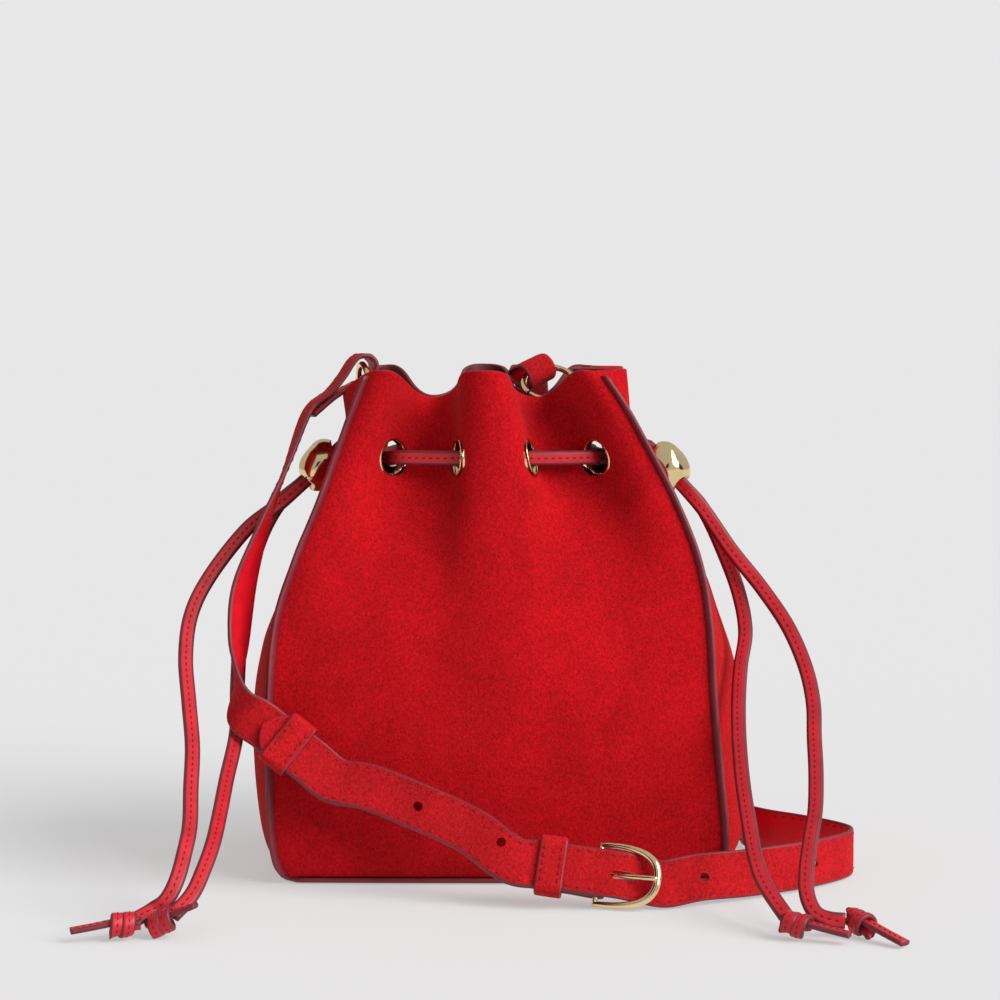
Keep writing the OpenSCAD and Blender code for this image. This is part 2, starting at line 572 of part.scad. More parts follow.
// The billet: from the right ring down behind the bag, round its right side and through the buckle
module billet_strap() {
    loop = ring_loop(right_loop_c, RIGHT_WAY, RIGHT_LOOP_UP);
    turn = [[10.8, 21.5, 210.2], [12, 29.5, 210.2], [13.5, 38, 207.8]];
    turn_up = [[-0.25, 0, 0.97], [0, 0.1, 1], [0, 0.25, 0.97]];
    turn_w = [[0.9, 0.3, 0.25], [1, 0, 0], [1, 0, 0]];
    under = [for (i = [0:2]) turn[i] - 1.1 * turn_up[i]];
    over = [for (i = [0:2]) turn[i] + 1.1 * turn_up[i]];
    back = [[14, 50, 199], [13.5, 60, 182], [12, 68, 158], [10, 74, 130], [9, 80, 100], [12, 87, 67],
        [22, 97, 38], [32, 112, 17], [27, 127, 11], [8, 136, 10.3], [-20, 134, 10.2], [-42, 124, 10.2],
        [-52, 108, 10.2], [-42, 92, 10.2], [-16, 84, 10.2], [20, 84, 10.2], [56, 84, 10.2],
        [84, 76, 10.2], [101, 60, 10.2], [106.5, 40, 10.2], [108, 22, 10.2], [116, 9, 10.2],
        [129, -3, 10.2], [141, -16, 10.2], [147.5, -28, 10.2], [145, -41, 10.2], [134, -55, 10.3],
        [118, -69, 10.5], [98, -82, 10.8], [80, -91, 11.2]];
    front = [buckle_pt(16, -3), buckle_pt(8, -2.6), buckle_pt(4, -1.4), buckle_pt(0, 0.6),
        buckle_pt(-4, 1.3), buckle_pt(-8, outer_n), buckle_pt(-16, outer_n),
        buckle_pt(-24, outer_n), buckle_pt(-34, outer_n), buckle_pt(-46, outer_n), [-12, -87.5, 29.5],
        [-33, -81.5, 38], [-53, -76.5, 45], keeper_pt(24, outer_n), keeper_pt(12, outer_n),
        keeper_pt(0, outer_n), keeper_pt(-6, outer_n), keeper_pt(-9, outer_n), keeper_pt(-12, outer_n),
        keeper_pt(-13, outer_n)];
    P = concat(reverse(under), loop, over, back, front);
    back_w = concat([[1, 0, 0], [1, 0, 0], [1, 0, 0], [1, 0.05, 0], [1, 0.1, 0.05],
        [0.9, 0.2, 0.2], [0.7, 0.35, 0.6], [0.3, 0.3, 0.9]], [for (i = [8:24]) [0, 0, 1]],
        [[0, 0.08, 1], [0, 0.14, 0.98], [0, 0.2, 0.97], [0.05, 0.27, 0.95], [0.08, 0.32, 0.93]]);
    front_w = concat([for (i = [0:9]) BUCKLE_UP], SLOPE_UP, [for (i = [0:6]) KEEPER_UP]);
    W = concat(reverse(turn_w), [for (p = loop) RIGHT_ACROSS], turn_w, back_w, front_w);
    w = concat([for (p = concat(under, loop, over)) strap_end_w], [15, 17], [for (i = [2:len(back) - 1]) strap_w],
        [for (i = [0:len(front) - 4]) strap_w], [15, 8, 3]);
    color(red)
        difference() {
            strip(spline(P, 2), spline(W, 2), spline(w, 2), strap_t);
            place(BUCKLE, BUCKLE_OUT, BUCKLE_DIR)
                for (x = [-4.5:1:3.5]) translate([x, 0, -4]) cylinder(r = hole_r, h = 8, $fn = 24);
            for (h = STRAP_HOLES)
                place(h[0], h[1], [0, 0, 1]) translate([0, 0, -6]) cylinder(r = hole_r, h = 12, $fn = 24);
        }
}

// Keepers: short bands round the strap, X along the strap, Y out, Z up
module keeper_band(length, low, high) {
    inside_h = strap_w + 1.4;
    band = 1.5;
    rotate([90, 0, 90])
        translate([0, 0, -length / 2])
            linear_extrude(length)
                difference() {
                    offset(r = 1.2, $fn = 24)
                        translate([low - band + 1.2, -inside_h / 2 - band + 1.2])
                            square([high - low + 2 * band - 2.4, inside_h + 2 * band - 2.4]);
                    translate([low, -inside_h / 2]) square([high - low, inside_h]);
                }
}
module fixed_keeper() {
    color(red)
        place(buckle_pt(-30, 0), BUCKLE_UP, BUCKLE_DIR)
            mirror([0, 1, 0]) keeper_band(11, -6.6, 2.8);
}
module sliding_keeper() {
    color(red)
        place(KEEPER, KEEPER_UP, KEEPER_DIR)
            mirror([0, 1, 0]) keeper_band(12, -3.6, 3);
}

// Buckle: a D whose bar is a true cylinder, in axes X along the strap, Y up the bar, Z out
module in_buckle() {
    place(BUCKLE, BUCKLE_OUT, BUCKLE_DIR) children();
}
bow_reach = 23.4;                   // from the bar to the middle of the bow
bow_rise = 7.2;                     // how far the bow arches out over the strap
bow_end_r = 1.1;                    // radius of the bow's wire at the bar
bow_swell = 0.7;                    // how much thicker it is at its middle
function d_at(a) = [bar_x + bow_reach * pow(sin(a), 0.75),
    buckle_half_h * sign(cos(a)) * pow(abs(cos(a)), 0.8) * (1 + 0.06 * sin(a)),
    bar_n + bow_rise * pow(sin(a), 0.5)];
d_angles = steps(24, 0, 180);
module buckle_frame() {
    P = [for (a = d_angles) d_at(a)];
    color(gold)
        in_buckle() {
            tube([for (k = [0:len(P) - 1])
                let (d = tangent(P, k), n1 = ortho([0, 0, 1], d), n2 = cross(d, n1),
                    r = bow_end_r + bow_swell * sin(d_angles[k]))
                [for (j = [0:9]) P[k] + r * (cos(36 * j) * n1 + sin(36 * j) * n2)]]);
            translate([bar_x, 0, bar_n]) rotate([90, 0, 0])
                cylinder(r = bar_r, h = 2 * buckle_half_h + 1, center = true, $fn = 32);
        }
}
prong_l = 24;
prong_rise = 24.5;
module buckle_prong() {
    color(gold)
        in_buckle()
            translate([bar_x, 0, bar_n]) {
                difference() {
                    rotate([90, 0, 0]) cylinder(r = bar_r + 1.1, h = 2.6, center = true, $fn = 32);
                    rotate([90, 0, 0]) cylinder(r = bar_r + 0.05, h = 4, center = true, $fn = 32);
                }
                rotate([0, 90 - prong_rise, 0])
                    translate([0, 0, bar_r + 0.6]) {
                        cylinder(r = prong_r, h = prong_l, $fn = 24);
                        translate([0, 0, prong_l]) sphere(r = prong_r, $fn = 24);
                    }
            }
}

front_panel();
back_panel();
side_panel(-1);  // left_gusset
side_panel(1);  // right_gusset
base_panel();
base_board();
lining();
welt(-1, true);  // front_left_welt
welt(1, true);  // front_right_welt
welt(-1, false);  // back_left_welt
welt(1, false);  // back_right_welt
base_welt();
front_eyelet(0);  // front_eyelet_1
front_eyelet(1);  // front_eyelet_2
front_eyelet(2);  // front_eyelet_3
front_eyelet(3);  // front_eyelet_4
back_eyelet(0);  // back_eyelet_1
back_eyelet(1);  // back_eyelet_2
back_eyelet(2);  // back_eyelet_3
back_eyelet(3);  // back_eyelet_4
at_side_eyelet(-1) eyelet();  // left_eyelet
at_side_eyelet(1) eyelet();  // right_eyelet
drawcord(-1);  // front_drawcord
drawcord(1);  // back_drawcord
tail(0);  // left_front_tail
tail(1);  // left_back_tail
tail(2);  // right_front_tail
tail(3);  // right_back_tail
knot(0);  // left_front_knot
knot(1);  // left_back_knot
knot(2);  // right_front_knot
knot(3);  // right_back_knot
bead(-1);  // left_bead
bead(1);  // right_bead
tab(-1);  // left_tab
tab(1);  // right_tab
ring(-1);  // left_ring
ring(1);  // right_ring
ring_gate(-1);  // left_ring_gate
ring_gate(1);  // right_ring_gate
gate_pin(-1);  // left_gate_pin
gate_pin(1);  // right_gate_pin
buckle_strap();
billet_strap();
fixed_keeper();
sliding_keeper();
buckle_frame();
buckle_prong();
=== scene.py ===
"""Looks of the drawstring bucket bag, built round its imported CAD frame.

Lengths are millimetres until a mesh is made. Sides are -1 for left or front and 1 for right or back.
"""
import math

import bpy
import bmesh
import numpy as np
from mathutils import Matrix, Vector, noise


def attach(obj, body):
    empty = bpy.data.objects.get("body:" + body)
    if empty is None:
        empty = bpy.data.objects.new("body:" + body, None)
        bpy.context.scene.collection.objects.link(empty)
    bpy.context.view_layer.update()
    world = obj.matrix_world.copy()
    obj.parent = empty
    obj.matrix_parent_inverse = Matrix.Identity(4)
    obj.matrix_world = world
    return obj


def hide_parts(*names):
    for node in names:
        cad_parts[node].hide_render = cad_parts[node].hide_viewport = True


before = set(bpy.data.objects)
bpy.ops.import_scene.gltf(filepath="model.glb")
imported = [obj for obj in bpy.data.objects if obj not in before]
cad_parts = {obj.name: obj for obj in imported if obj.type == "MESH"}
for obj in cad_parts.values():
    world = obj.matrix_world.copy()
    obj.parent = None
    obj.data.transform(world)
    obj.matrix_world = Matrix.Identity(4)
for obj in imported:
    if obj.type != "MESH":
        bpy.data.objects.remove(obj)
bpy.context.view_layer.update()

MM = 0.001
UP = Vector((0, 0, 1))
BAG = "bag"

# ---------------------------------------------------------------- camera

CAMERA_AT = (0, -1.2, 0.25)
CAMERA_DOWN = 4.52
CAMERA_LENS = 101.3


def make_camera():
    data = bpy.data.cameras.new("camera")
    data.lens = CAMERA_LENS
    data.sensor_width = 36
    camera = bpy.data.objects.new("camera", data)
    camera.location = CAMERA_AT
    camera.rotation_euler = (math.radians(90 - CAMERA_DOWN), 0, 0)
    bpy.context.collection.objects.link(camera)
    bpy.context.scene.camera = camera


make_camera()

# ---------------------------------------------------------------- driving sizes, as in the CAD part

BODY_H = 212
HIDE_T = 1.8
WALL_Z = 2.2
LINING_H = 156
LINING_T = 0.6
EYELET_Z = 175
EYELET_R = 7
EYELET_RIM = 1.3
CORD_W = 6.2
CORD_T = 2.6
BEAD_BORE = 4.7
BEAD_TRAVEL = 12
STRAP_W = 19
STRAP_T = 1.9
STRAP_END_W = 14
HOLE_R = 1.9
RING_R = 10.8
BUCKLE_HALF_H = 12
BAR_R = 1.1
PRONG_R = 1.15

# Outlines of the bag: [height, size] pairs, smoothed by curve()
LEFT_SEAM = [[0, 86], [8, 91], [20, 93], [43, 94], [76, 94], [109, 91], [134, 83],
             [158, 73], [183, 64], [198, 58.5], [212, 53]]
RIGHT_SEAM = [[0, 87], [8, 91], [20, 92], [43, 90], [76, 87], [109, 85], [134, 80.5],
              [158, 71], [183, 58], [198, 49.5], [212, 40]]
SEAM_DEPTH = [[0, 50], [8, 54], [25, 56], [60, 56], [100, 52], [134, 45.5], [158, 40], [176, 36.5], [212, 36]]
FRONT_BULGE = [[0, 1], [15, 3], [50, 6], [100, 8], [140, 7], [176, 6], [212, 6]]
LEFT_BULGE = [[0, 6], [10, 9], [35, 11], [60, 11.5], [93, 8], [117, 3], [134, 0], [212, 0]]
RIGHT_BULGE = [[0, 8], [14, 12], [43, 14], [76, 15], [109, 8], [134, 4], [150, 0], [212, 0]]
PLEAT = [[0, 0], [80, 0], [110, 2.2], [140, 6.5], [162, 10.5], [176, 12], [212, 12]]
FLARE = [[0, 0], [176, 0], [195, 2], [212, 4]]
LEAN = [[0, 0], [180, 0], [196, 3], [212, 8]]
DROP = [[0, 0], [176, 0], [195, 5], [212, 12]]
LEFT_FOLD = [[0, 0], [120, 0], [150, 4], [176, 7], [184, 3], [190, -2], [200, -8], [212, -14]]
RIGHT_FOLD = [[0, 0], [120, 0], [150, 5], [176, 9], [212, 8]]
LEFT_DROP = [[0, 0], [176, 0], [195, 5], [212, 12.5]]
LEFT_LOBE = [[0, 0], [150, 0], [176, 2], [212, 3]]
RIGHT_LOBE = [[0, 0], [150, 0], [176, 2], [190, 5], [200, 10], [212, 17]]
PLEAT_PITCH = 378.95
STEEP = 0.055
FLANK_S = 0.65
INNER_S = 0.2375
EYELETS = [-FLANK_S, -INNER_S, INNER_S, FLANK_S]


def sin(a):
    return math.sin(math.radians(a))


def cos(a):
    return math.cos(math.radians(a))


def curve(table, z):
    """A smooth value from [height, size] pairs."""
    i = 0
    while i < len(table) - 2 and z >= table[i + 1][0]:
        i += 1

    def slope(j):
        a, b = max(j - 1, 0), min(j + 1, len(table) - 1)
        return (table[b][1] - table[a][1]) / (table[b][0] - table[a][0])

    h = table[i + 1][0] - table[i][0]
    k = min(1, max(0, (z - table[i][0]) / h))
    return ((2 * k ** 3 - 3 * k ** 2 + 1) * table[i][1] + (k ** 3 - 2 * k ** 2 + k) * slope(i) * h
            + (3 * k ** 2 - 2 * k ** 3) * table[i + 1][1] + (k ** 3 - k ** 2) * slope(i + 1) * h)


def front_at(s, z):
    """A point on the outside of the front panel: s from -1 at the left seam to 1 at the right."""
    left, right, a = -curve(LEFT_SEAM, z), curve(RIGHT_SEAM, z), curve(PLEAT, z)
    p = PLEAT_PITCH * s
    k = STEEP * a / 12 * (1 if abs(p) < 180 else 0.35)
    valley = 0 if abs(s) > 0.95 else ((1 - cos(p)) / 2) ** 1.5
    x = (left + right) / 2 + (right - left) / 2 * (s + k * sin(2 * p))
    y = (-curve(SEAM_DEPTH, z) - curve(FRONT_BULGE, z) * (1 - s * s) - a * (cos(p) - cos(PLEAT_PITCH))
         + curve(LEAN, z) * valley - curve(FLARE, z) * (1 - valley) * (1 - s * s))
    return Vector((x, y, z - curve(DROP, z) * valley))


def to_back(v):
    """The back is the front's mirror image."""
    return Vector((v.x, -v.y, v.z))


def back_at(s, z):
    return to_back(front_at(s, z))


def gusset_at(side, t, z):
    """A point on the outside of a gusset: t from -1 at the front seam to 1 at the back seam."""
    left = side < 0
    x = curve(LEFT_SEAM if left else RIGHT_SEAM, z)
    b = curve(LEFT_BULGE if left else RIGHT_BULGE, z)
    f = curve(LEFT_FOLD if left else RIGHT_FOLD, z)
    a = curve(LEFT_LOBE if left else RIGHT_LOBE, z)
    drop = curve(LEFT_DROP, z) if left else 0
    y = curve(SEAM_DEPTH, z) - 1.35 * HIDE_T
    fold = cos(90 * t) ** 2
    out = x + b * (1 - t * t) + a * (1 - cos(360 * t)) / 2 - f * fold
    return Vector((side * out, y * t, z - drop * fold))


def normal_of(point, u, v, du=0.01, dv=0.5):
    """The outward normal of a wall; u runs so that u x v points out."""
    a = point(u + du, v) - point(u - du, v)
    b = point(u, v + dv) - point(u, v - dv)
    return a.cross(b).normalized()


def front_out(s, z):
    return normal_of(front_at, s, z)


def gusset_out(side, t, z):
    return side * normal_of(lambda u, v: gusset_at(side, u, v), t, z)


def front_in(s, z, d):
    return front_at(s, z) - d * front_out(s, z)


def gusset_in(side, t, z, d):
    return gusset_at(side, t, z) - d * gusset_out(side, t, z)


def steps(n, a, b):
    return [a + (b - a) * i / n for i in range(n + 1)]


def outline(z, d, n_front, n_side):
    """The bag's outline at a height, moved in by d, anticlockwise from the left front corner."""
    front = [front_in(s, z, d) for s in steps(n_front, -0.95, 0.95)]
    right = [gusset_in(1, t, z, d) for t in steps(n_side, -0.94, 0.94)]
    back = [Vector((p.x, -p.y, p.z)) for p in reversed(front)]
    left = [gusset_in(-1, t, z, d) for t in steps(n_side, 0.94, -0.94)]
    return front + right + back + left


# ---------------------------------------------------------------- vectors, splines and meshes

def unit(*v):
    return Vector(v).normalized()


def ortho(w, t):
    w = Vector(w)
    return (w - w.dot(t) * t).normalized()


def spline(points, n):
    """A smooth line through points or numbers, n steps between each pair."""
    p = [np.array(q, float) for q in points]
    out = []
    for i in range(len(p) - 1):
        a, b, c, d = p[max(i - 1, 0)], p[i], p[i + 1], p[min(i + 2, len(p) - 1)]
        for k in np.arange(n) / n:
            out.append(0.5 * (2 * b + (c - a) * k + (2 * a - 5 * b + 4 * c - d) * k * k
                              + (3 * b - a - 3 * c + d) * k ** 3))
    return np.array(out + [p[-1]])


def path_length(points):
    p = np.array([tuple(q) for q in points])
    return float(np.linalg.norm(np.diff(p, axis=0), axis=1).sum())


def even(points, others, gap):
    """Points at equal gaps along a line, and other rows of values carried to the same places."""
    d = np.concatenate([[0], np.cumsum(np.linalg.norm(np.diff(points, axis=0), axis=1))])
    at = np.linspace(0, d[-1], max(2, int(round(d[-1] / gap)) + 1))

    def pick(rows):
        rows = np.array(rows, float)
        rows = rows[:, None] if rows.ndim == 1 else rows
        return np.stack([np.interp(at, d, rows[:, j]) for j in range(rows.shape[1])], axis=1)
    return pick(points), [pick(o) for o in others]


def add_mesh(name, verts, faces, materials, face_materials=None, smooth=True, scale=MM):
    """A mesh object at the origin, from points in millimetres."""
    mesh = bpy.data.meshes.new(name)
    mesh.from_pydata([tuple(scale * c for c in v) for v in verts], [], faces)
    for m in materials:
        mesh.materials.append(m)
    if face_materials is not None:
        mesh.polygons.foreach_set("material_index", face_materials)
    mesh.polygons.foreach_set("use_smooth", [smooth] * len(mesh.polygons))
    obj = bpy.data.objects.new(name, mesh)
    bpy.context.collection.objects.link(obj)
    return obj


def place(obj, body, slot, *nodes):
    """Rides a finished piece on its body, in place of its CAD nodes."""
    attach(obj, body)
    if nodes:
        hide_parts(*nodes)
    return obj


def recalc(obj):
    """Turns every face outwards."""
    bm = bmesh.new()
    bm.from_mesh(obj.data)
    bmesh.ops.recalc_face_normals(bm, faces=bm.faces)
    bm.to_mesh(obj.data)
    bm.free()


def modify(obj, kind, **settings):
    m = obj.modifiers.new(kind.lower(), kind)
    for k, v in settings.items():
        setattr(m, k, v)
    return m


def apply_modifiers(obj):
    dg = bpy.context.evaluated_depsgraph_get()
    mesh = bpy.data.meshes.new_from_object(obj.evaluated_get(dg))
    obj.modifiers.clear()
    obj.data = mesh


def rings_mesh(rings, closed=False):
    """Faces of a skin through rings of points. Face j*n+i lies after ring j and point i."""
    m, n = len(rings), len(rings[0])
    verts = [p for r in rings for p in r]
    faces = []
    for j in range(m if closed else m - 1):
        k = (j + 1) % m
        faces += [(j * n + i, j * n + (i + 1) % n, k * n + (i + 1) % n, k * n + i) for i in range(n)]
    if not closed:
        faces += [tuple(range(n - 1, -1, -1)), tuple((m - 1) * n + i for i in range(n))]
    return verts, faces


def frames_along(P, W):
    """Width direction and thickness direction at each point of a line."""
    T = np.gradient(P, axis=0)
    T /= np.linalg.norm(T, axis=1)[:, None]
    A = W - (W * T).sum(1)[:, None] * T
    A /= np.linalg.norm(A, axis=1)[:, None]
    return A, np.cross(T, A)


def strap_section(w, t, crown=0.12):
    """A flat strap's cut, as points (across, out), and whether each side is face 0, edge 1 or back 2."""
    h = t / 2
    r = 0.42 * t
    near = w / 2 - 0.3 * r
    across = [-(w / 2 - r), -(w / 2 - 1.5), -w / 6, w / 6, w / 2 - 1.5, w / 2 - r]
    top = [(a, h + crown * (1 - (2 * a / w) ** 2)) for a in across]
    right = [(near, h - 0.3 * r), (w / 2, h - r), (w / 2, -(h - r)), (near, -(h - 0.3 * r))]
    bottom = [(-a, -h - 0.5 * crown * (1 - (2 * a / w) ** 2)) for a in across]
    left = [(-x, -y) for x, y in right]
    points = top + right + bottom + left
    sides = [0] * 5 + [1] * 5 + [2] * 5 + [1] * 5
    return points, sides


def strap(name, P, W, w, t, materials, gap=1.6):
    """A flat strap along a line. materials are those of its face (outwards), its edges and its back."""
    P, (W, w) = even(P, [W, w], gap)
    A, B = frames_along(P, W)
    rings = []
    for i in range(len(P)):
        section, sides = strap_section(w[i, 0], t)
        rings.append([P[i] + A[i] * x + B[i] * y for x, y in section])
    verts, faces = rings_mesh(rings)
    obj = add_mesh(name, verts, faces, materials, sides * (len(P) - 1) + [1, 1])
    recalc(obj)
    return obj, (P, A, B, w[:, 0])


# A dash of sewing: how far along it, and how thick there, as shares of its length and radius
DASH = [(-0.5, 0.25), (-0.34, 0.85), (0, 1), (0.34, 0.85), (0.5, 0.25)]


def stitches(name, lines, material, length=2.6, gap=4.4, radius=0.42, body=BAG, slot="strap_suede"):
    """Sewn dashes along lines of (points, normals). A dash is a slim lens half sunk in the leather."""
    verts, faces = [], []
    ring = [(math.cos(a), math.sin(a)) for a in np.linspace(0, 2 * math.pi, 7)[:-1]]
    for points, normals in lines:
        P, (N,) = even(np.array(points, float), [normals], gap)
        if len(P) < 3:
            continue
        T = np.gradient(P, axis=0)
        T /= np.linalg.norm(T, axis=1)[:, None]
        for p, t, n in zip(P[1:-1], T[1:-1], N[1:-1]):
            n = n / np.linalg.norm(n)
            side = np.cross(t, n)
            base = len(verts)
            for f, r in DASH:
                centre = p + t * f * length + n * (0.1 - 0.55 * radius * (abs(f) > 0.4))
                verts += [centre + radius * r * (side * c + n * s * 0.75) for c, s in ring]
            for k in range(4):
                faces += [(base + 6 * k + i, base + 6 * k + (i + 1) % 6, base + 6 * k + 6 + (i + 1) % 6,
                           base + 6 * k + 6 + i) for i in range(6)]
            faces += [tuple(base + i for i in range(5, -1, -1)), tuple(base + 24 + i for i in range(6))]
    obj = add_mesh(name, verts, faces, [material])
    return place(obj, body, slot)


def tube(name, P, radii, material, sides=20):
    """A round wire along a line, with a radius at each point."""
    P = np.array([tuple(p) for p in P], float)
    T = np.gradient(P, axis=0)
    T /= np.linalg.norm(T, axis=1)[:, None]
    a = np.array(ortho((0.3, 0.5, 0.8), Vector(T[0])))
    rings = []
    for i in range(len(P)):
        a = a - a.dot(T[i]) * T[i]
        a /= np.linalg.norm(a)
        b = np.cross(T[i], a)
        rings.append([P[i] + radii[i] * (math.cos(f) * a + math.sin(f) * b)
                      for f in np.linspace(0, 2 * math.pi, sides + 1)[:-1]])
    verts, faces = rings_mesh(rings)
    obj = add_mesh(name, verts, faces, [material])
    recalc(obj)
    return obj


def lathe(name, profile, frame_matrix, material, turns=64, closed=False):
    """A turned piece: (radius, height) pairs round the Z axis of a frame."""
    rings = []
    for r, h in profile:
        rings.append([frame_matrix @ Vector((r * math.cos(a), r * math.sin(a), h))
                      for a in np.linspace(0, 2 * math.pi, turns + 1)[:-1]])
    verts, faces = rings_mesh(rings, closed)
    obj = add_mesh(name, verts, faces, [material])
    recalc(obj)
    return obj


def axes(p, z_dir, x_near):
    """A frame at p with Z along one direction and X near another, in millimetres."""
    z = Vector(z_dir).normalized()
    x = ortho(x_near, z)
    y = z.cross(x)
    m = Matrix((x, y, z)).transposed().to_4x4()
    m.translation = Vector(p)
    return m


def joined(name, parts):
    """One object from several."""
    bpy.ops.object.select_all(action="DESELECT")
    for o in parts:
        o.select_set(True)
    bpy.context.view_layer.objects.active = parts[0]
    bpy.ops.object.join()
    parts[0].name = name
    return parts[0]


# ---------------------------------------------------------------- materials

def new_material(name):
    m = bpy.data.materials.new(name)
    m.use_nodes = True
    return m, m.node_tree.nodes, m.node_tree.links, m.node_tree.nodes["Principled BSDF"]


def noise_node(nodes, links, scale, detail=2.0, rough=0.5, stretch=None, distortion=0.0):
    """A noise in object space; scale is per metre."""
    coord = nodes.new("ShaderNodeTexCoord")
    n = nodes.new("ShaderNodeTexNoise")
    n.inputs["Scale"].default_value = scale
    n.inputs["Detail"].default_value = detail
    n.inputs["Roughness"].default_value = rough
    n.inputs["Distortion"].default_value = distortion
    if stretch:
        mapping = nodes.new("ShaderNodeMapping")
        mapping.inputs["Scale"].default_value = stretch
        links.new(coord.outputs["Object"], mapping.inputs["Vector"])
        links.new(mapping.outputs["Vector"], n.inputs["Vector"])
    else:
        links.new(coord.outputs["Object"], n.inputs["Vector"])
    return n.outputs["Fac"]


def ramp(nodes, links, fac, stops):
    r = nodes.new("ShaderNodeValToRGB")
    els = r.color_ramp.elements
    while len(els) < len(stops):
        els.new(0.5)
    for e, (at, colour) in zip(els, stops):
        e.position = at
        e.color = (*colour, 1)
    links.new(fac, r.inputs["Fac"])
    return r.outputs["Color"]


def multiply(nodes, links, a, b):
    """One colour times another."""
    m = nodes.new("ShaderNodeMix")
    m.data_type = "RGBA"
    m.blend_type = "MULTIPLY"
    m.inputs["Factor"].default_value = 1
    links.new(a, m.inputs["A"])
    links.new(b, m.inputs["B"])
    return m.outputs["Result"]


def bump(nodes, links, height, strength, distance, before=None):
    b = nodes.new("ShaderNodeBump")
    b.inputs["Strength"].default_value = strength
    b.inputs["Distance"].default_value = distance
    links.new(height, b.inputs["Height"])
    if before is not None:
        links.new(before, b.inputs["Normal"])
    return b.outputs["Normal"]


def tint(c, k):
    return tuple(min(1, x * k) for x in c)


def suede(name, colour, sheen):
    """Brushed suede: a short nap that lies in drifts, with a fine grain."""
    m, nodes, links, shader = new_material(name)
    drift = noise_node(nodes, links, 38, 5, 0.55, (1, 1, 0.6), 0.6)
    patch = ramp(nodes, links, drift, [(0.3, tint(colour, 0.82)), (0.52, colour), (0.72, tint(colour, 1.16))])
    nap = noise_node(nodes, links, 950, 4, 0.65, (1, 1, 0.8), 0.5)
    grey = ramp(nodes, links, nap, [(0.3, (0.62, 0.62, 0.62)), (0.7, (1.3, 1.3, 1.3))])
    speck = noise_node(nodes, links, 2600, 2, 0.6)
    fine = ramp(nodes, links, speck, [(0.3, (0.72, 0.72, 0.72)), (0.7, (1.2, 1.2, 1.2))])
    mottled = multiply(nodes, links, multiply(nodes, links, patch, grey), fine)
    links.new(mottled, shader.inputs["Base Color"])
    lie = bump(nodes, links, nap, 0.5, 0.0006)
    links.new(bump(nodes, links, speck, 0.6, 0.00025, lie), shader.inputs["Normal"])
    shader.inputs["Roughness"].default_value = 0.95
    shader.inputs["Specular IOR Level"].default_value = 0.08
    shader.inputs["Sheen Weight"].default_value = sheen
    shader.inputs["Sheen Roughness"].default_value = 0.4
    shader.inputs["Sheen Tint"].default_value = (1.0, 0.14, 0.1, 1)
    return m


def smooth_leather(name, colour, rough=0.42, grain=900):
    """Smooth dyed leather with pores."""
    m, nodes, links, shader = new_material(name)
    tone = noise_node(nodes, links, 90, 4, 0.55)
    links.new(ramp(nodes, links, tone, [(0.3, tint(colour, 0.82)), (0.7, tint(colour, 1.12))]),
              shader.inputs["Base Color"])
    pores = noise_node(nodes, links, grain, 3, 0.6)
    links.new(bump(nodes, links, pores, 0.25, 0.0003), shader.inputs["Normal"])
    gloss = nodes.new("ShaderNodeMapRange")
    gloss.inputs["To Min"].default_value = rough - 0.08
    gloss.inputs["To Max"].default_value = rough + 0.14
    links.new(tone, gloss.inputs["Value"])
    links.new(gloss.outputs["Result"], shader.inputs["Roughness"])
    shader.inputs["Specular IOR Level"].default_value = 0.4
    return m


def gold_metal():
    """Polished pale gold with faint cloudiness."""
    m, nodes, links, shader = new_material("gold")
    cloud = noise_node(nodes, links, 120, 3, 0.5)
    links.new(ramp(nodes, links, cloud, [(0.3, (0.80, 0.60, 0.30)), (0.7, (0.92, 0.74, 0.44))]),
              shader.inputs["Base Color"])
    gloss = nodes.new("ShaderNodeMapRange")
    gloss.inputs["To Min"].default_value = 0.07
    gloss.inputs["To Max"].default_value = 0.2
    links.new(cloud, gloss.inputs["Value"])
    links.new(gloss.outputs["Result"], shader.inputs["Roughness"])
    ripple = noise_node(nodes, links, 260, 1, 0.4)
    links.new(bump(nodes, links, ripple, 0.08, 0.001), shader.inputs["Normal"])
    shader.inputs["Metallic"].default_value = 1
    return m


def woven(name, colour):
    """Woven lining cloth."""
    m, nodes, links, shader = new_material(name)
    coord = nodes.new("ShaderNodeTexCoord")
    waves = []
    for direction in ("X", "Z"):
        w = nodes.new("ShaderNodeTexWave")
        w.bands_direction = direction
        w.inputs["Scale"].default_value = 900
        w.inputs["Distortion"].default_value = 1.5
        links.new(coord.outputs["Object"], w.inputs["Vector"])
        waves.append(w.outputs["Color"])
    weave = multiply(nodes, links, *waves)
    tone = noise_node(nodes, links, 70, 3, 0.5)
    base = ramp(nodes, links, tone, [(0.3, tint(colour, 0.8)), (0.7, tint(colour, 1.15))])
    links.new(base, shader.inputs["Base Color"])
    links.new(bump(nodes, links, weave, 0.3, 0.0003), shader.inputs["Normal"])
    shader.inputs["Roughness"].default_value = 0.8
    return m


SUEDE = suede("suede", (0.45, 0.004, 0.008), 0.16)
STRAP_SUEDE = suede("strap_suede_face", (0.45, 0.009, 0.013), 0.2)
CORD_RED = smooth_leather("cord_leather_face", (0.52, 0.008, 0.018))
BACK_RED = smooth_leather("strap_back", (0.62, 0.003, 0.012), 0.45)
PAINT = smooth_leather("edge_paint", (0.17, 0.015, 0.024), 0.45, 500)
THREAD = smooth_leather("thread", (0.19, 0.003, 0.006), 0.7, 3000)
LINING = woven("lining_weave", (0.06, 0.004, 0.006))
BOARD = smooth_leather("fibre_board", (0.3, 0.24, 0.17), 0.8, 700)
GOLD = gold_metal()

# ---------------------------------------------------------------- free cord ends and their knots

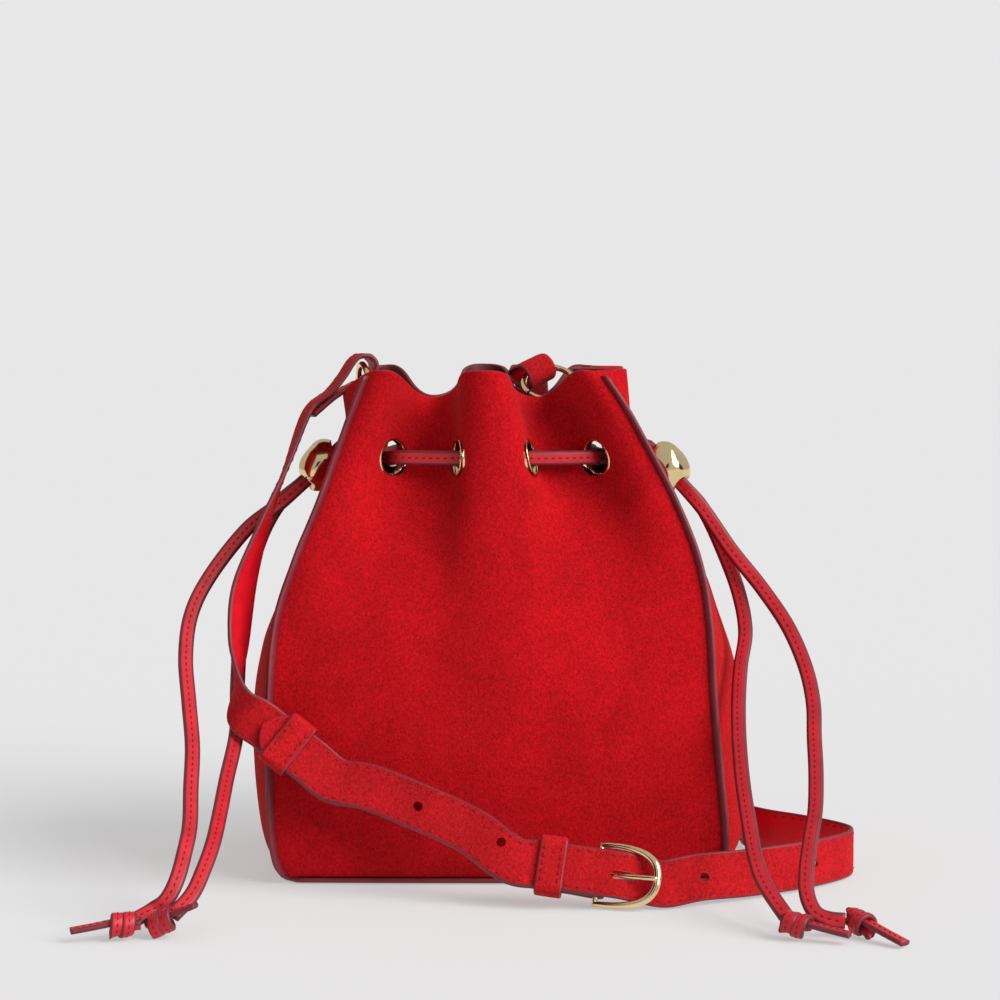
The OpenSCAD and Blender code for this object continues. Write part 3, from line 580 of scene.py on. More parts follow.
BEADS = {-1: Vector((-76, -4, 170)), 1: Vector((71, -4, 169))}
BEAD_DIRS = {-1: unit(-0.74, -0.15, -0.655), 1: unit(0.68, -0.15, -0.72)}
BEAD_BODIES = {-1: "left_bead_body", 1: "right_bead_body"}
CORD_GAP = CORD_T / 2 + 0.15
SIDE_NAMES = {-1: "left", 1: "right"}
FACE_NAMES = {-1: "front", 1: "back"}
TAILS = {
    (-1, -1): [[-94, -9, 154], [-107, -16, 144], [-121, -28, 126], [-128, -40, 111], [-129, -54, 95],
               [-126, -70, 78], [-123, -86, 63], [-122, -102, 49], [-121, -116, 37], [-122, -128, 28],
               [-124, -137, 19.5], [-127.5, -141, 13], [-132.5, -142, 9.5], [-138.5, -147.5, 7]],
    (-1, 1): [[-94, -5, 154], [-102, -8, 139], [-107, -16, 119], [-109, -27, 99], [-109, -42, 80],
              [-108, -58, 64], [-110, -80, 49], [-111, -100, 38], [-112, -116, 30], [-114.5, -128, 22],
              [-118, -138, 14.5], [-124.5, -146.5, 8.2]],
    (1, -1): [[87, -9.3, 151], [98, -14, 135], [110, -22, 120], [120, -34, 105], [126, -47, 90],
              [128, -60, 77], [127, -74, 65], [126, -90, 53], [124, -106, 41], [120.5, -120, 31],
              [118, -131, 22], [117.5, -139, 14.5], [120, -144.5, 9], [125, -147, 7], [131, -147.5, 6.5]],
    (1, 1): [[87, -5.6, 151], [95, -8, 134], [101, -16, 117], [103, -27, 102], [100, -40, 89],
             [98, -54, 76], [97, -70, 63], [97, -88, 49], [98, -108, 35], [99, -122, 26],
             [101.5, -134, 18], [108.5, -148, 8.5]],
}
# Knots: middle, direction of the loose tip, reach from the middle to the tip's end, turn about that direction
KNOTS = {
    (-1, -1): ((-142.5, -151.5, 6), (-0.96, -0.27, -0.06), 20, 40),
    (-1, 1): ((-128, -149.5, 6.55), (0.87, -0.16, 0.47), 15, 150),
    (1, -1): ((136.5, -148, 6), (0.64, -0.75, -0.17), 23, 20),
    (1, 1): ((112, -152, 6), (0.93, -0.36, -0.1), 21, 110),
}
WRAP_R = 3.7
WRAP_TURN = 560
KNOT_W = CORD_W - 0.8
KNOT_T = 2.0


def turned(y, z, a):
    return y * cos(a) - z * sin(a), y * sin(a) + z * cos(a)


def knot(key):
    """An overhand knot pulled tight: the cord runs in, wraps round itself and leaves as the tip."""
    middle, direction, reach, turn = KNOTS[key]
    m = axes(middle, direction, Vector(direction).cross(UP))
    inside = [(-6.4, 0, 1.1), (-3, 0.2, 1.0), (1.5, 0.2, 1.2), (4.6, 0.4, 2.2)]
    points, widths = [], []
    for x, y, z in inside:
        points.append((x, *turned(y, z, turn)))
        widths.append((0, *turned(1, 0, turn)))
    wraps = 16
    for i in range(wraps + 1):
        f = i / wraps
        a = turn + 90 + WRAP_TURN * f
        r = WRAP_R * (0.92 + 0.1 * math.sin(math.pi * f))
        points.append((3.6 - 6.9 * f, r * cos(a), r * sin(a)))
        widths.append((1, 0.1 * cos(a), 0.1 * sin(a)))
    for x, y, z in [(-4.6, 0.6, -1.6), (-1, 0, -1.6), (3.5, 0, -1.3), (reach * 0.55, 0, -0.6), (reach, 0, 0)]:
        points.append((x, y, z))
        widths.append((0, 1, 0))
    P = spline([tuple(m @ Vector((y, z, x))) for x, y, z in points], 6)
    W = spline([tuple(m.to_3x3() @ Vector((y, z, x))) for x, y, z in widths], 6)
    name = "_".join([SIDE_NAMES[key[0]], FACE_NAMES[key[1]], "knot"])
    obj, (P, A, B, w) = strap("knotted_" + name, P, W, np.full(len(P), KNOT_W), KNOT_T,
                              [CORD_RED, PAINT, CORD_RED], 0.8)
    place(obj, BAG, "cord_leather", name)
    h = KNOT_T / 2 + 0.02
    seam = stitches("stitches_" + name, [(P + B * h, B), (P - B * h, -B)], THREAD, 1.5, 2.6, 0.28,
                    slot="cord_leather")
    return [obj, seam]


def cord_seams(name, P, B):
    """The row of stitches down the middle of a flat cord, on both faces."""
    lines = [(P + B * (CORD_T / 2 + 0.08), B), (P - B * (CORD_T / 2 + 0.04), -B)]
    return stitches("stitches_" + name, lines, THREAD, 1.7, 3.0, 0.3, slot="cord_leather")


def tail(key):
    """A free end of a drawcord, from inside its bead to its knot."""
    side, face = key
    c = BEADS[side] + Vector((0, face * CORD_GAP, 0))
    d = BEAD_DIRS[side]
    route = [tuple(c), tuple(c + BEAD_TRAVEL * d)] + TAILS[key]
    width_dir = [(0, 0, 1), (0, 0, 1)] + [(side, 0, 0.35)] * len(TAILS[key])
    P = spline(route, 12)
    W = spline(width_dir, 12)
    name = "_".join([SIDE_NAMES[side], FACE_NAMES[face], "tail"])
    obj, (P, A, B, w) = strap("cord_" + name, P, W, np.full(len(P), CORD_W), CORD_T,
                              [CORD_RED, PAINT, CORD_RED], 1.2)
    place(obj, BAG, "cord_leather", name)
    tied = knot(key)
    seam = cord_seams(name, P, B)
    MM * path_length(P)
    [tuple(MM * p) for p in P]


for key in TAILS:
    tail(key)


# ---------------------------------------------------------------- suede panels

def dent(p, size=34.0, depth=0.55):
    """How far soft suede gives at a point: slow hollows and a finer ripple."""
    q = Vector(p) / size
    return depth * noise.noise(q) + 0.3 * depth * noise.noise(3.1 * q + Vector((7, 3, 5)))


def cut_round(verts, faces, holes, radius):
    """Opens round holes in a grid: points inside go, and those round each hole move onto its rim."""
    gone, ring = set(), {}
    for centre, axis in holes:
        for i, v in enumerate(verts):
            d = v - centre
            if d.length > radius + 6:
                continue
            flat = d - d.dot(axis) * axis
            if flat.length < radius - 0.5:
                gone.add(i)
            else:
                ring[i] = (centre + d.dot(axis) * axis, flat.normalized())
    kept = []
    for f in faces:
        if gone.intersection(f):
            for i in f:
                if i in ring and i not in gone:
                    verts[i] = ring[i][0] + radius * ring[i][1]
        else:
            kept.append(f)
    used = sorted({i for f in kept for i in f})
    new = {old: k for k, old in enumerate(used)}
    return [verts[i] for i in used], [tuple(new[i] for i in f) for f in kept]


def panel(name, point, out, us, zs, holes, flip):
    """A suede wall from its outside points, with round holes, thickness inwards and a soft rounded edge."""
    centres = [h[0] for h in holes]
    verts = []
    for z in zs:
        for u in us:
            p = point(u, z)
            calm = min(1, (1 - abs(u)) / 0.12) * min(1, (z - WALL_Z) / 12)
            calm *= min(1, max(0.25, (BODY_H - z) / 20))
            for c in centres:
                calm *= min(1, max(0, ((p - c).length - 9) / 10))
            verts.append(p + dent(p) * calm * out(u, z))
    n = len(us)
    faces = [(j * n + i, j * n + i + 1, (j + 1) * n + i + 1, (j + 1) * n + i)
             for j in range(len(zs) - 1) for i in range(n - 1)]
    verts, faces = cut_round(verts, faces, holes, EYELET_R + 0.6)
    if flip:
        faces = [tuple(reversed(f)) for f in faces]
    obj = add_mesh(name + "_shell", verts, faces, [SUEDE, FACING, PAINT])
    modify(obj, "SOLIDIFY", thickness=MM * HIDE_T, offset=-1, use_even_offset=True, use_quality_normals=True,
           material_offset=1, material_offset_rim=2)
    modify(obj, "SUBSURF", levels=1, render_levels=1, use_limit_surface=False)
    apply_modifiers(obj)
    return place(obj, BAG, "red_suede", name)


FACING = smooth_leather("facing", (0.10, 0.004, 0.007), 0.62)
WALL_ROWS = steps(58, WALL_Z, 150) + steps(36, 151.6, BODY_H)


def front_holes():
    holes = []
    for s in EYELETS:
        axis = (front_at(s, EYELET_Z) - front_in(s, EYELET_Z, 1)).normalized()
        holes.append((front_at(s, EYELET_Z), axis))
    return holes


def side_hole(side):
    return gusset_at(side, 0, EYELET_Z - 2), Vector((side, 0, 0))


def back_out(s, z):
    return to_back(front_out(s, z))


def panels():
    across = steps(112, -1, 1)
    panel("front_panel", front_at, front_out, across, WALL_ROWS, front_holes(), False)
    panel("back_panel", back_at, back_out, across, WALL_ROWS,
          [(to_back(c), to_back(a)) for c, a in front_holes()], True)
    for side in (-1, 1):
        panel(SIDE_NAMES[side] + "_gusset", lambda t, z: gusset_at(side, t, z),
              lambda t, z: gusset_out(side, t, z), steps(52, -1, 1), WALL_ROWS, [side_hole(side)], side < 0)


def welts():
    """Turned-out side seams: two layers side by side, with their cut edges outwards."""
    cut = [(-0.9, -0.4), (-0.93, 1.6), (-0.9, 2.35), (-0.72, 2.7), (-0.45, 2.85), (-0.2, 2.8), (0, 2.68),
           (0.2, 2.8), (0.45, 2.85), (0.72, 2.7), (0.9, 2.35), (0.93, 1.6), (0.9, -0.4)]
    zs = steps(96, WALL_Z + 0.6, 209.5)
    for side in (-1, 1):
        for face in (-1, 1):
            out_dir = unit(side, face, 0)
            across = unit(side, -face, 0)
            rings = []
            for z in zs:
                p = front_at(side, z)
                c = Vector((p.x, -face * p.y, p.z))
                wave = 0.16 * noise.noise(Vector((side * 3, face * 5, z / 9)))
                rings.append([c + across * (a + wave * b / 3) + out_dir * b for a, b in cut])
            verts, faces = rings_mesh(rings)
            name = FACE_NAMES[face] + "_" + SIDE_NAMES[side] + "_welt"
            obj = add_mesh("seam_" + name, verts, faces, [PAINT])
            recalc(obj)
            place(obj, BAG, "painted_edge", name)


ROLL_R = 1.1


def base_ring(z, d):
    """The base's outline moved in by d, at a height."""
    return [Vector((p.x, p.y, z)) for p in outline(WALL_Z, d, 66, 40)]


def base_parts():
    """The base with its rolled edge, and the board inside it."""
    loop = outline(WALL_Z, 0, 66, 40)
    n = len(loop)
    rings = []
    for i in range(n):
        p, a, b = loop[i], loop[i - 1], loop[(i + 1) % n]
        t = (b - a).normalized()
        o = Vector((t.y, -t.x, 0))
        base = Vector((p.x, p.y, 1.55))
        rings.append([base + o * (0.85 + ROLL_R * cos(g)) + UP * (ROLL_R - 0.05) * sin(g)
                      for g in range(0, 360, 30)])
    verts, faces = rings_mesh(rings, closed=True)
    roll = add_mesh("rolled_base_welt", verts, faces, [PAINT])
    recalc(roll)
    place(roll, BAG, "painted_edge", "base_welt")
    sole_rings = [(2.05, 30), (2.05, 0.4), (1.2, 0.1), (0.25, 3), (0, 5), (0, 30)]
    verts, faces = rings_mesh([base_ring(z, d) for z, d in sole_rings])
    sole = add_mesh("suede_base_panel", verts, faces, [SUEDE])
    recalc(sole)
    place(sole, BAG, "red_suede", "base_panel")
    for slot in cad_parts["base_board"].material_slots:
        slot.material = BOARD


def shrunk(ring, k, z):
    return [Vector((p.x * k, p.y * k, z)) for p in ring]


def lining():
    """The loose cloth bag inside: up its outside, over its rim and down its inside, a little creased."""
    gap = HIDE_T + 0.9
    floor_z = WALL_Z + 1.5
    heights = steps(40, floor_z, LINING_H)
    out, inside = [], []
    for z in heights:
        ring = [Vector((p.x, p.y, z)) for p in outline(z, gap, 60, 28)]
        out.append(ring)
        middle = Vector((sum(p.x for p in ring) / len(ring), 0, z))
        crease = [0.5 + 0.5 * noise.noise(Vector((p.x / 16, p.y / 16, z / 42))) for p in ring]
        rise = min(1, (z - floor_z) / 10)
        lift = UP * (LINING_T if z == floor_z else 0)
        inside.append([p + (middle - p).normalized() * (LINING_T + 1.1 * c * rise) + lift
                       for p, c in zip(ring, crease)])
    floor_top = floor_z + LINING_T
    rings = ([shrunk(out[0], 0.3, floor_z)] + out + inside[::-1]
             + [shrunk(inside[0], 0.6, floor_top), shrunk(inside[0], 0.3, floor_top)])
    verts, faces = rings_mesh(rings)
    obj = add_mesh("cloth_lining", verts, faces, [LINING])
    recalc(obj)
    place(obj, BAG, "lining_cloth", "lining")


def seam_stitches():
    """Rows of sewing beside the side seams, on the gussets."""
    rows = []
    for side in (-1, 1):
        for t in (-0.93, 0.93):
            run = [(gusset_at(side, t, z), gusset_out(side, t, z)) for z in steps(150, 6, 208)]
            rows.append(([tuple(p) for p, o in run], [tuple(o) for p, o in run]))
    stitches("panel_stitches", rows, THREAD, 2.5, 4.2, 0.36, slot="red_suede")


# ---------------------------------------------------------------- gold fittings

def eyelet_profile():
    """A rolled rim outside, a barrel through the hide and a flat flange inside, as (radius, height)."""
    r, o, h = EYELET_R, EYELET_R + EYELET_RIM, HIDE_T
    rim = [(r, 0.3), (r + 0.06, 0.52), (r + 0.22, 0.7), (r + 0.5, 0.76), (o - 0.45, 0.7),
           (o - 0.15, 0.56), (o, 0.36), (o - 0.03, 0.24), (r + 0.5, 0.2)]
    flange = [(r + 0.5, -h - 0.15), (o - 0.4, -h - 0.17), (o - 0.35, -h - 0.3), (o - 0.5, -h - 0.45),
              (r + 0.5, -h - 0.55), (r + 0.12, -h - 0.48)]
    return [(r, -h - 0.3)] + rim + flange


def eyelets():
    for i, (c, a) in enumerate(front_holes()):
        for face, q, b in ((-1, c, a), (1, to_back(c), to_back(a))):
            node = "%s_eyelet_%d" % (FACE_NAMES[face], i + 1)
            obj = lathe("turned_" + node, eyelet_profile(), axes(q, b, UP), GOLD, closed=True)
            place(obj, BAG, "polished_gold", node)
    for side in (-1, 1):
        c, a = side_hole(side)
        node = SIDE_NAMES[side] + "_eyelet"
        obj = lathe("turned_" + node, eyelet_profile(), axes(c, a, UP), GOLD, closed=True)
        place(obj, BAG, "polished_gold", SIDE_NAMES[side] + "_eyelet")


# A bead's lumps as (middle, radius), and its hollows as (direction, distance from the middle)
BEAD_LUMPS = [((0, 0, 0), 9.5), ((2.5, 1.5, -4), 7.0), ((-2, 2, 4), 6.8), ((1, -2.5, 3.5), 6.5)]
BEAD_FACETS = [((0.9, 0.3, 0.2), 8.9), ((-0.3, -0.95, -0.1), 8.6), ((-0.85, 0.45, -0.3), 8.8),
               ((0.3, 0.85, -0.4), 9.3), ((0.55, -0.7, -0.5), 9.1), ((-0.6, -0.5, 0.6), 9.0),
               ((0.2, 0.6, 0.75), 9.4)]
LUMP_BLEND = 1.6
FACET_BLEND = 2.2


def bead_radius(d):
    """How far a bead's skin is from its middle in a direction: three lumps blended, with shallow facets."""
    reach = []
    for c, r in BEAD_LUMPS:
        along = Vector(c).dot(d)
        rest = r * r - Vector(c).length_squared + along * along
        reach.append(along + math.sqrt(rest) if rest > 0 else 0)
    size = math.log(sum(math.exp(LUMP_BLEND * x) for x in reach)) / LUMP_BLEND
    for f, depth in BEAD_FACETS:
        c = d.dot(Vector(f).normalized())
        if c > 0.3:
            plane = depth / c + 0.9 * (1 - c)
            size = -math.log(math.exp(-FACET_BLEND * size) + math.exp(-FACET_BLEND * plane)) / FACET_BLEND
    return size


def bead(side):
    m = axes(BEADS[side], BEAD_DIRS[side], UP)
    around = range(0, 360, 5)
    rows = 36
    rings = []
    for j in range(rows + 1):
        ring = []
        for a in around:
            start = 31 - 3 * cos(2 * a)
            f = start + (180 - 2 * start) * j / rows
            d = Vector((sin(f) * cos(a), sin(f) * sin(a), cos(f)))
            ring.append(m @ (bead_radius(d) * d))
        rings.append(ring)
    for z, grow in ((-6.9, 0.35), (-6.4, 0), (6.4, 0), (6.9, 0.35)):
        r = BEAD_BORE + grow
        rings.append([m @ Vector((r * cos(a), r * sin(a), z)) for a in around])
    verts, faces = rings_mesh(rings, closed=True)
    name = SIDE_NAMES[side] + "_bead"
    obj = add_mesh("nugget_" + name, verts, faces, [GOLD])
    recalc(obj)
    place(obj, BEAD_BODIES[side], "polished_gold", name)


# Rings: centre and the direction from the tab to the strap; ACROSS is along each ring's axis
RINGS = {-1: (Vector((-57.5, -2, 202.5)), unit(-0.12, 0, 1)),
         1: (Vector((21, 3, 205)), unit(-0.6, 0.63, 0.49))}
ACROSS = {-1: ortho((0.27, -0.96, 0), RINGS[-1][1]), 1: ortho((0.8, 0.48, 0.37), RINGS[1][1])}


def ring_parts():
    """Rings, gates and hinge pins keep their CAD shapes, polished."""
    for side in SIDE_NAMES.values():
        for node in (side + "_ring", side + "_ring_gate", side + "_gate_pin"):
            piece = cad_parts[node]
            for slot in piece.material_slots:
                slot.material = GOLD
            piece.data.polygons.foreach_set("use_smooth", [True] * len(piece.data.polygons))
            piece.data.set_sharp_from_angle(angle=math.radians(40))


def tabs():
    """Narrow strips folded through the bottom of each ring and sewn inside the gusset."""
    tab_w, tab_t, r = 6, 1.4, 3.2
    for side in (-1, 1):
        centre, u = RINGS[side]
        c = centre - (RING_R - 0.5) * u
        q = ACROSS[side].cross(u)
        wall_x = side * (abs(gusset_in(side, 0, 185, HIDE_T).x) - 0.3 - tab_t / 2)
        knee = Vector((side * (abs(gusset_in(side, 0, 195, HIDE_T).x) - 2.8), 0, 192))
        route = [Vector((wall_x, 0, 184))]
        route += [knee, c - 6 * u + 1.5 * q] if side > 0 else [c - 4 * u + 2.8 * q]
        route += [c - 2 * u + r * q, c + 1.6 * u + 0.8 * r * q, c + 3.1 * u, c + 1.6 * u - 0.8 * r * q,
                  c - 2 * u - r * q, c - 5.5 * u - 1.2 * q]
        widths = [(0, -1, 0)] * 2 + [tuple(ACROSS[side])] * (len(route) - 2)
        P = spline([tuple(p) for p in route], 8)
        name = SIDE_NAMES[side] + "_tab"
        obj, _ = strap("strip_" + name, P, spline(widths, 8), np.full(len(P), tab_w), tab_t,
                       [STRAP_SUEDE, PAINT, BACK_RED], 0.8)
        place(obj, BAG, "strap_suede", name)


# ---------------------------------------------------------------- drawcords inside the mouth

# The drawcords' way across the mouth, as (x, distance from the middle plane)
MIDDLE = [[-42, 25], [-29, 28.5], [-15, 30.5], [0, 31], [14, 30.5], [27, 28], [39, 24]]


def side_in(side, face):
    """The way from the middle of the bag to the middle of the bead."""
    c, d, o = BEADS[side], BEAD_DIRS[side], Vector((0, face * CORD_GAP, 0))
    x = abs(gusset_at(side, 0, EYELET_Z).x)
    return [Vector((side * (x - 11.5), face * 17, EYELET_Z - 1)),
            Vector((side * (x - 8), face * 9.5, EYELET_Z - 1.5)),
            Vector((side * (x - 4), face * 3.2, EYELET_Z - 1.8)),
            Vector((side * (x + 2), face * CORD_GAP, EYELET_Z - 1.2)), c - 13 * d + o, c - 7 * d + o, c + o]


def drawcords():
    for face in (-1, 1):
        left, right = side_in(-1, face), side_in(1, face)
        route = left[::-1] + [Vector((x, face * y, EYELET_Z)) for x, y in MIDDLE] + right
        P = spline([tuple(p) for p in route], 10)
        name = FACE_NAMES[face] + "_drawcord"
        W = np.tile([0, 0, 1], (len(P), 1))
        obj, (P, A, B, w) = strap("cord_" + name, P, W, np.full(len(P), CORD_W), CORD_T,
                                  [CORD_RED, PAINT, CORD_RED], 1.2)
        place(obj, BAG, "cord_leather", name)
        cord_seams(name, P, B)


# ---------------------------------------------------------------- shoulder strap

LOOP_R = 4.9
KEEPER = Vector((-86, -68, 61))
KEEPER_DIR = unit(0.79, -0.12, -0.6)
KEEPER_UP = ortho((0.5, 0.3, 0.8), KEEPER_DIR)
KEEPER_OUT = KEEPER_DIR.cross(KEEPER_UP)
BUCKLE = Vector((50, -98.5, 13))
BUCKLE_DIR = unit(0.982, -0.08, -0.13)
BUCKLE_UP = ortho((0.1, 0.36, 0.93), BUCKLE_DIR)
BUCKLE_OUT = BUCKLE_DIR.cross(BUCKLE_UP)
INNER_N = -2.0
OUTER_N = 1.4
BAR_X = -11
BAR_N = -4.6
LEFT_WAY = ortho((-0.74, -0.2, -0.64), ACROSS[-1])
LEFT_LOOP_UP = LEFT_WAY.cross(ACROSS[-1])
RIGHT_WAY = ortho((-0.33, 0.94, 0.1), ACROSS[1])
RIGHT_LOOP_UP = -RIGHT_WAY.cross(ACROSS[1])
SEAM_IN = 2.1
LAYER = 1.1
# Width direction of the strap between the buckle and the keeper
SLOPE_UP = [[0.24, 0.34, 0.9], [0.34, 0.32, 0.88], [0.42, 0.3, 0.85]]


def keeper_pt(x, n):
    return KEEPER + x * KEEPER_DIR + n * KEEPER_OUT


def buckle_pt(x, n):
    return BUCKLE + x * BUCKLE_DIR + n * BUCKLE_OUT


def ring_loop(side, a, b, legs):
    """The strap where it goes round a ring: along a and up b, round the top of its wire."""
    c = RINGS[side][0] + (RING_R - 1.3) * RINGS[side][1]
    lower = legs + [(9, -2.8), (3, -4.6), (-1.2, -LOOP_R), (-4.4, -2.6), (-5.2, 0)]
    upper = [(x, -y) for x, y in reversed(lower[:-1])]
    return [c + x * a + y * b for x, y in lower + upper]


def strap_ready(P, W, w):
    """Route, width directions and widths of a strap, smoothed."""
    return spline([tuple(p) for p in P], 10), spline([tuple(v) for v in W], 10), spline(w, 10)


def strap_seams(name, rows, w_min=12):
    """Two rows of stitches, 2 mm in from the edges, on both faces of a strap."""
    P, A, B, w = rows
    keep = w > w_min
    P, A, B, w = P[keep], A[keep], B[keep], w[keep]
    lines = []
    for edge in (-1, 1):
        for out in (-1, 1):
            line = P + A * (edge * (w / 2 - SEAM_IN))[:, None] + B * out * (STRAP_T / 2 - 0.08)
            lines.append((line, B * out))
    stitches("stitches_" + name, lines, THREAD, 2.2, 4.7, 0.36)


def cut_away(obj, tool):
    """Takes a tool's shape out of a piece, and the tool away."""
    modify(obj, "BOOLEAN", operation="DIFFERENCE", solver="EXACT", object=tool)
    apply_modifiers(obj)
    bpy.data.objects.remove(tool)


def cut_hole(obj, middle, direction):
    """Punches a round adjustment hole."""
    m = axes(middle, direction, (0.2, 0.1, 0.97))
    cut_away(obj, lathe("punch", [(0.01, -7), (HOLE_R, -7), (HOLE_R, 7), (0.01, 7)], m, BACK_RED, 32))
    obj.data.set_sharp_from_angle(angle=math.radians(50))


def buckle_strap():
    """From the left ring down through the keeper to the buckle, and back behind itself from the bar."""
    loop = ring_loop(-1, LEFT_WAY, LEFT_LOOP_UP, [(30, -1.1), (18, -1.2)])
    drop = [[-89, -22, 172], [-98, -31, 148], [-106, -40, 122], [-108, -48, 100], [-108, -57, 86]]
    run = [keeper_pt(x, INNER_N) for x in (-24, -12, 0, 12, 24)]
    run += [[-53, -72.5, 44], [-33, -77.5, 37], [-12, -83.5, 28.5]]
    run += [buckle_pt(x, INNER_N) for x in (-46, -34, -22, -14)]
    fold = [(BAR_X + 1, BAR_N + 2.5), (BAR_X + 2.6, BAR_N), (BAR_X + 1, BAR_N - 2.5),
            (-14, BAR_N - 2.4), (-22, -5.2), (-34, -4.8), (-44, -4.8)]
    P = loop + drop + run + [buckle_pt(x, n) for x, n in fold]
    drop_w = [[0.1, -1, 0], [-0.15, -1, 0], [-0.4, -0.9, 0], [-0.3, -0.9, 0.2], [0.1, -0.75, 0.6],
              [0.45, -0.3, 0.8]]
    W = [ACROSS[-1]] * len(loop) + drop_w + [KEEPER_UP] * 4 + SLOPE_UP[::-1] + [BUCKLE_UP] * (4 + len(fold))
    w = [STRAP_END_W] * len(loop) + [16, 18] + [STRAP_W] * (len(drop) - 2 + len(run) + len(fold))
    obj, rows = strap("sewn_buckle_strap", *strap_ready(P, W, w), STRAP_T, [STRAP_SUEDE, PAINT, BACK_RED])
    cut_slot(obj)
    place(obj, BAG, "strap_suede", "buckle_strap")
    strap_seams("buckle_strap", rows)


def buckle_frame_axes():
    """Axes of the buckle: X along the strap, Y up the bar, Z out."""
    return axes(BUCKLE, BUCKLE_OUT, BUCKLE_DIR)


def cut_slot(obj):
    """The slot that lets the prong through the fold of the strap."""
    m = buckle_frame_axes()
    corners = [(x, y, z) for x in (BAR_X - 6, BAR_X + 6) for y in (-2, 2) for z in (BAR_N - 5, BAR_N + 5)]
    faces = [(0, 1, 3, 2), (4, 6, 7, 5), (0, 4, 5, 1), (2, 3, 7, 6), (0, 2, 6, 4), (1, 5, 7, 3)]
    box = add_mesh("slot_punch", [m @ Vector(p) for p in corners], faces, [BACK_RED], smooth=False)
    recalc(box)
    cut_away(obj, box)


# The billet's holes outside the buckle: where each one is, and the direction through it
STRAP_HOLES = [((0.5, -90, 24.8), (0, -1, 0.3)), ((-33, -81.5, 38), (0, -1, 0.12)),
               ((82, -90, 11.1), (0, -1, 0.3)), ((129, -60, 10.4), (0.6, -1, 0))]


def billet_strap():
    """From the right ring down behind the bag, round its right side and through the buckle and keepers."""
    turn = [[10.8, 21.5, 210.2], [12, 29.5, 210.2], [13.5, 38, 207.8]]
    lift = [[-0.25, 0, 0.97], [0, 0.1, 1], [0, 0.25, 0.97]]
    under = [Vector(p) - LAYER * Vector(n) for p, n in zip(turn, lift)]
    over = [Vector(p) + LAYER * Vector(n) for p, n in zip(turn, lift)]
    turn_w = [[0.9, 0.3, 0.25], [1, 0, 0], [1, 0, 0]]
    loop = ring_loop(1, RIGHT_WAY, RIGHT_LOOP_UP, [])
    back = [[14, 50, 199], [13.5, 60, 182], [12, 68, 158], [10, 74, 130], [9, 80, 100], [12, 87, 67],
            [22, 97, 38], [32, 112, 17], [27, 127, 11], [8, 136, 10.3], [-20, 134, 10.2],
            [-42, 124, 10.2], [-52, 108, 10.2], [-42, 92, 10.2], [-16, 84, 10.2], [20, 84, 10.2],
            [56, 84, 10.2], [84, 76, 10.2], [101, 60, 10.2], [106.5, 40, 10.2], [108, 22, 10.2],
            [116, 9, 10.2], [129, -3, 10.2], [141, -16, 10.2], [147.5, -28, 10.2], [145, -41, 10.2],
            [134, -55, 10.3], [118, -69, 10.5], [98, -82, 10.8], [80, -91, 11.2]]
    front = [buckle_pt(x, n) for x, n in ((16, -3), (8, -2.6), (4, -1.4), (0, 0.6), (-4, 1.3))]
    front += [buckle_pt(x, OUTER_N) for x in (-8, -16, -24, -34, -46)]
    front += [[-12, -87.5, 29.5], [-33, -81.5, 38], [-53, -76.5, 45]]
    front += [keeper_pt(x, OUTER_N) for x in (24, 12, 0, -6, -9, -12, -13)]
    back_w = ([[1, 0, 0], [1, 0, 0], [1, 0, 0], [1, 0.05, 0], [1, 0.1, 0.05], [0.9, 0.2, 0.2],
               [0.7, 0.35, 0.6], [0.3, 0.3, 0.9]] + [[0, 0, 1]] * 17
              + [[0, 0.08, 1], [0, 0.14, 0.98], [0, 0.2, 0.97], [0.05, 0.27, 0.95], [0.08, 0.32, 0.93]])
    front_w = [BUCKLE_UP] * 10 + SLOPE_UP + [KEEPER_UP] * 7
    full = len(back) + len(front) - 5
    w = [STRAP_END_W] * (len(loop) + 6) + [15, 17] + [STRAP_W] * full + [15, 8, 3]
    P = under[::-1] + loop + over + back + front
    W = turn_w[::-1] + [ACROSS[1]] * len(loop) + turn_w + back_w + front_w
    obj, rows = strap("sewn_billet_strap", *strap_ready(P, W, w), STRAP_T, [BACK_RED, PAINT, STRAP_SUEDE])
    prong_slot = [(buckle_pt(x, 0), tuple(BUCKLE_OUT)) for x in steps(5, -4, 2.5)]
    for middle, direction in prong_slot + STRAP_HOLES:
        cut_hole(obj, middle, direction)
    place(obj, BAG, "strap_suede", "billet_strap")
    strap_seams("billet_strap", rows, 16)


def band_loop(n0, n1, h, corner):
    """The rounded rectangle that a keeper's middle line follows."""
    loop = []
    for cy, cz, a0 in ((n1 - corner, h - corner, 0), (n0 + corner, h - corner, 90),
                       (n0 + corner, -h + corner, 180), (n1 - corner, -h + corner, 270)):
        loop += [(cy + corner * cos(a), cz + corner * sin(a)) for a in steps(8, a0, a0 + 90)]
    return even_loop(loop, 1.0)


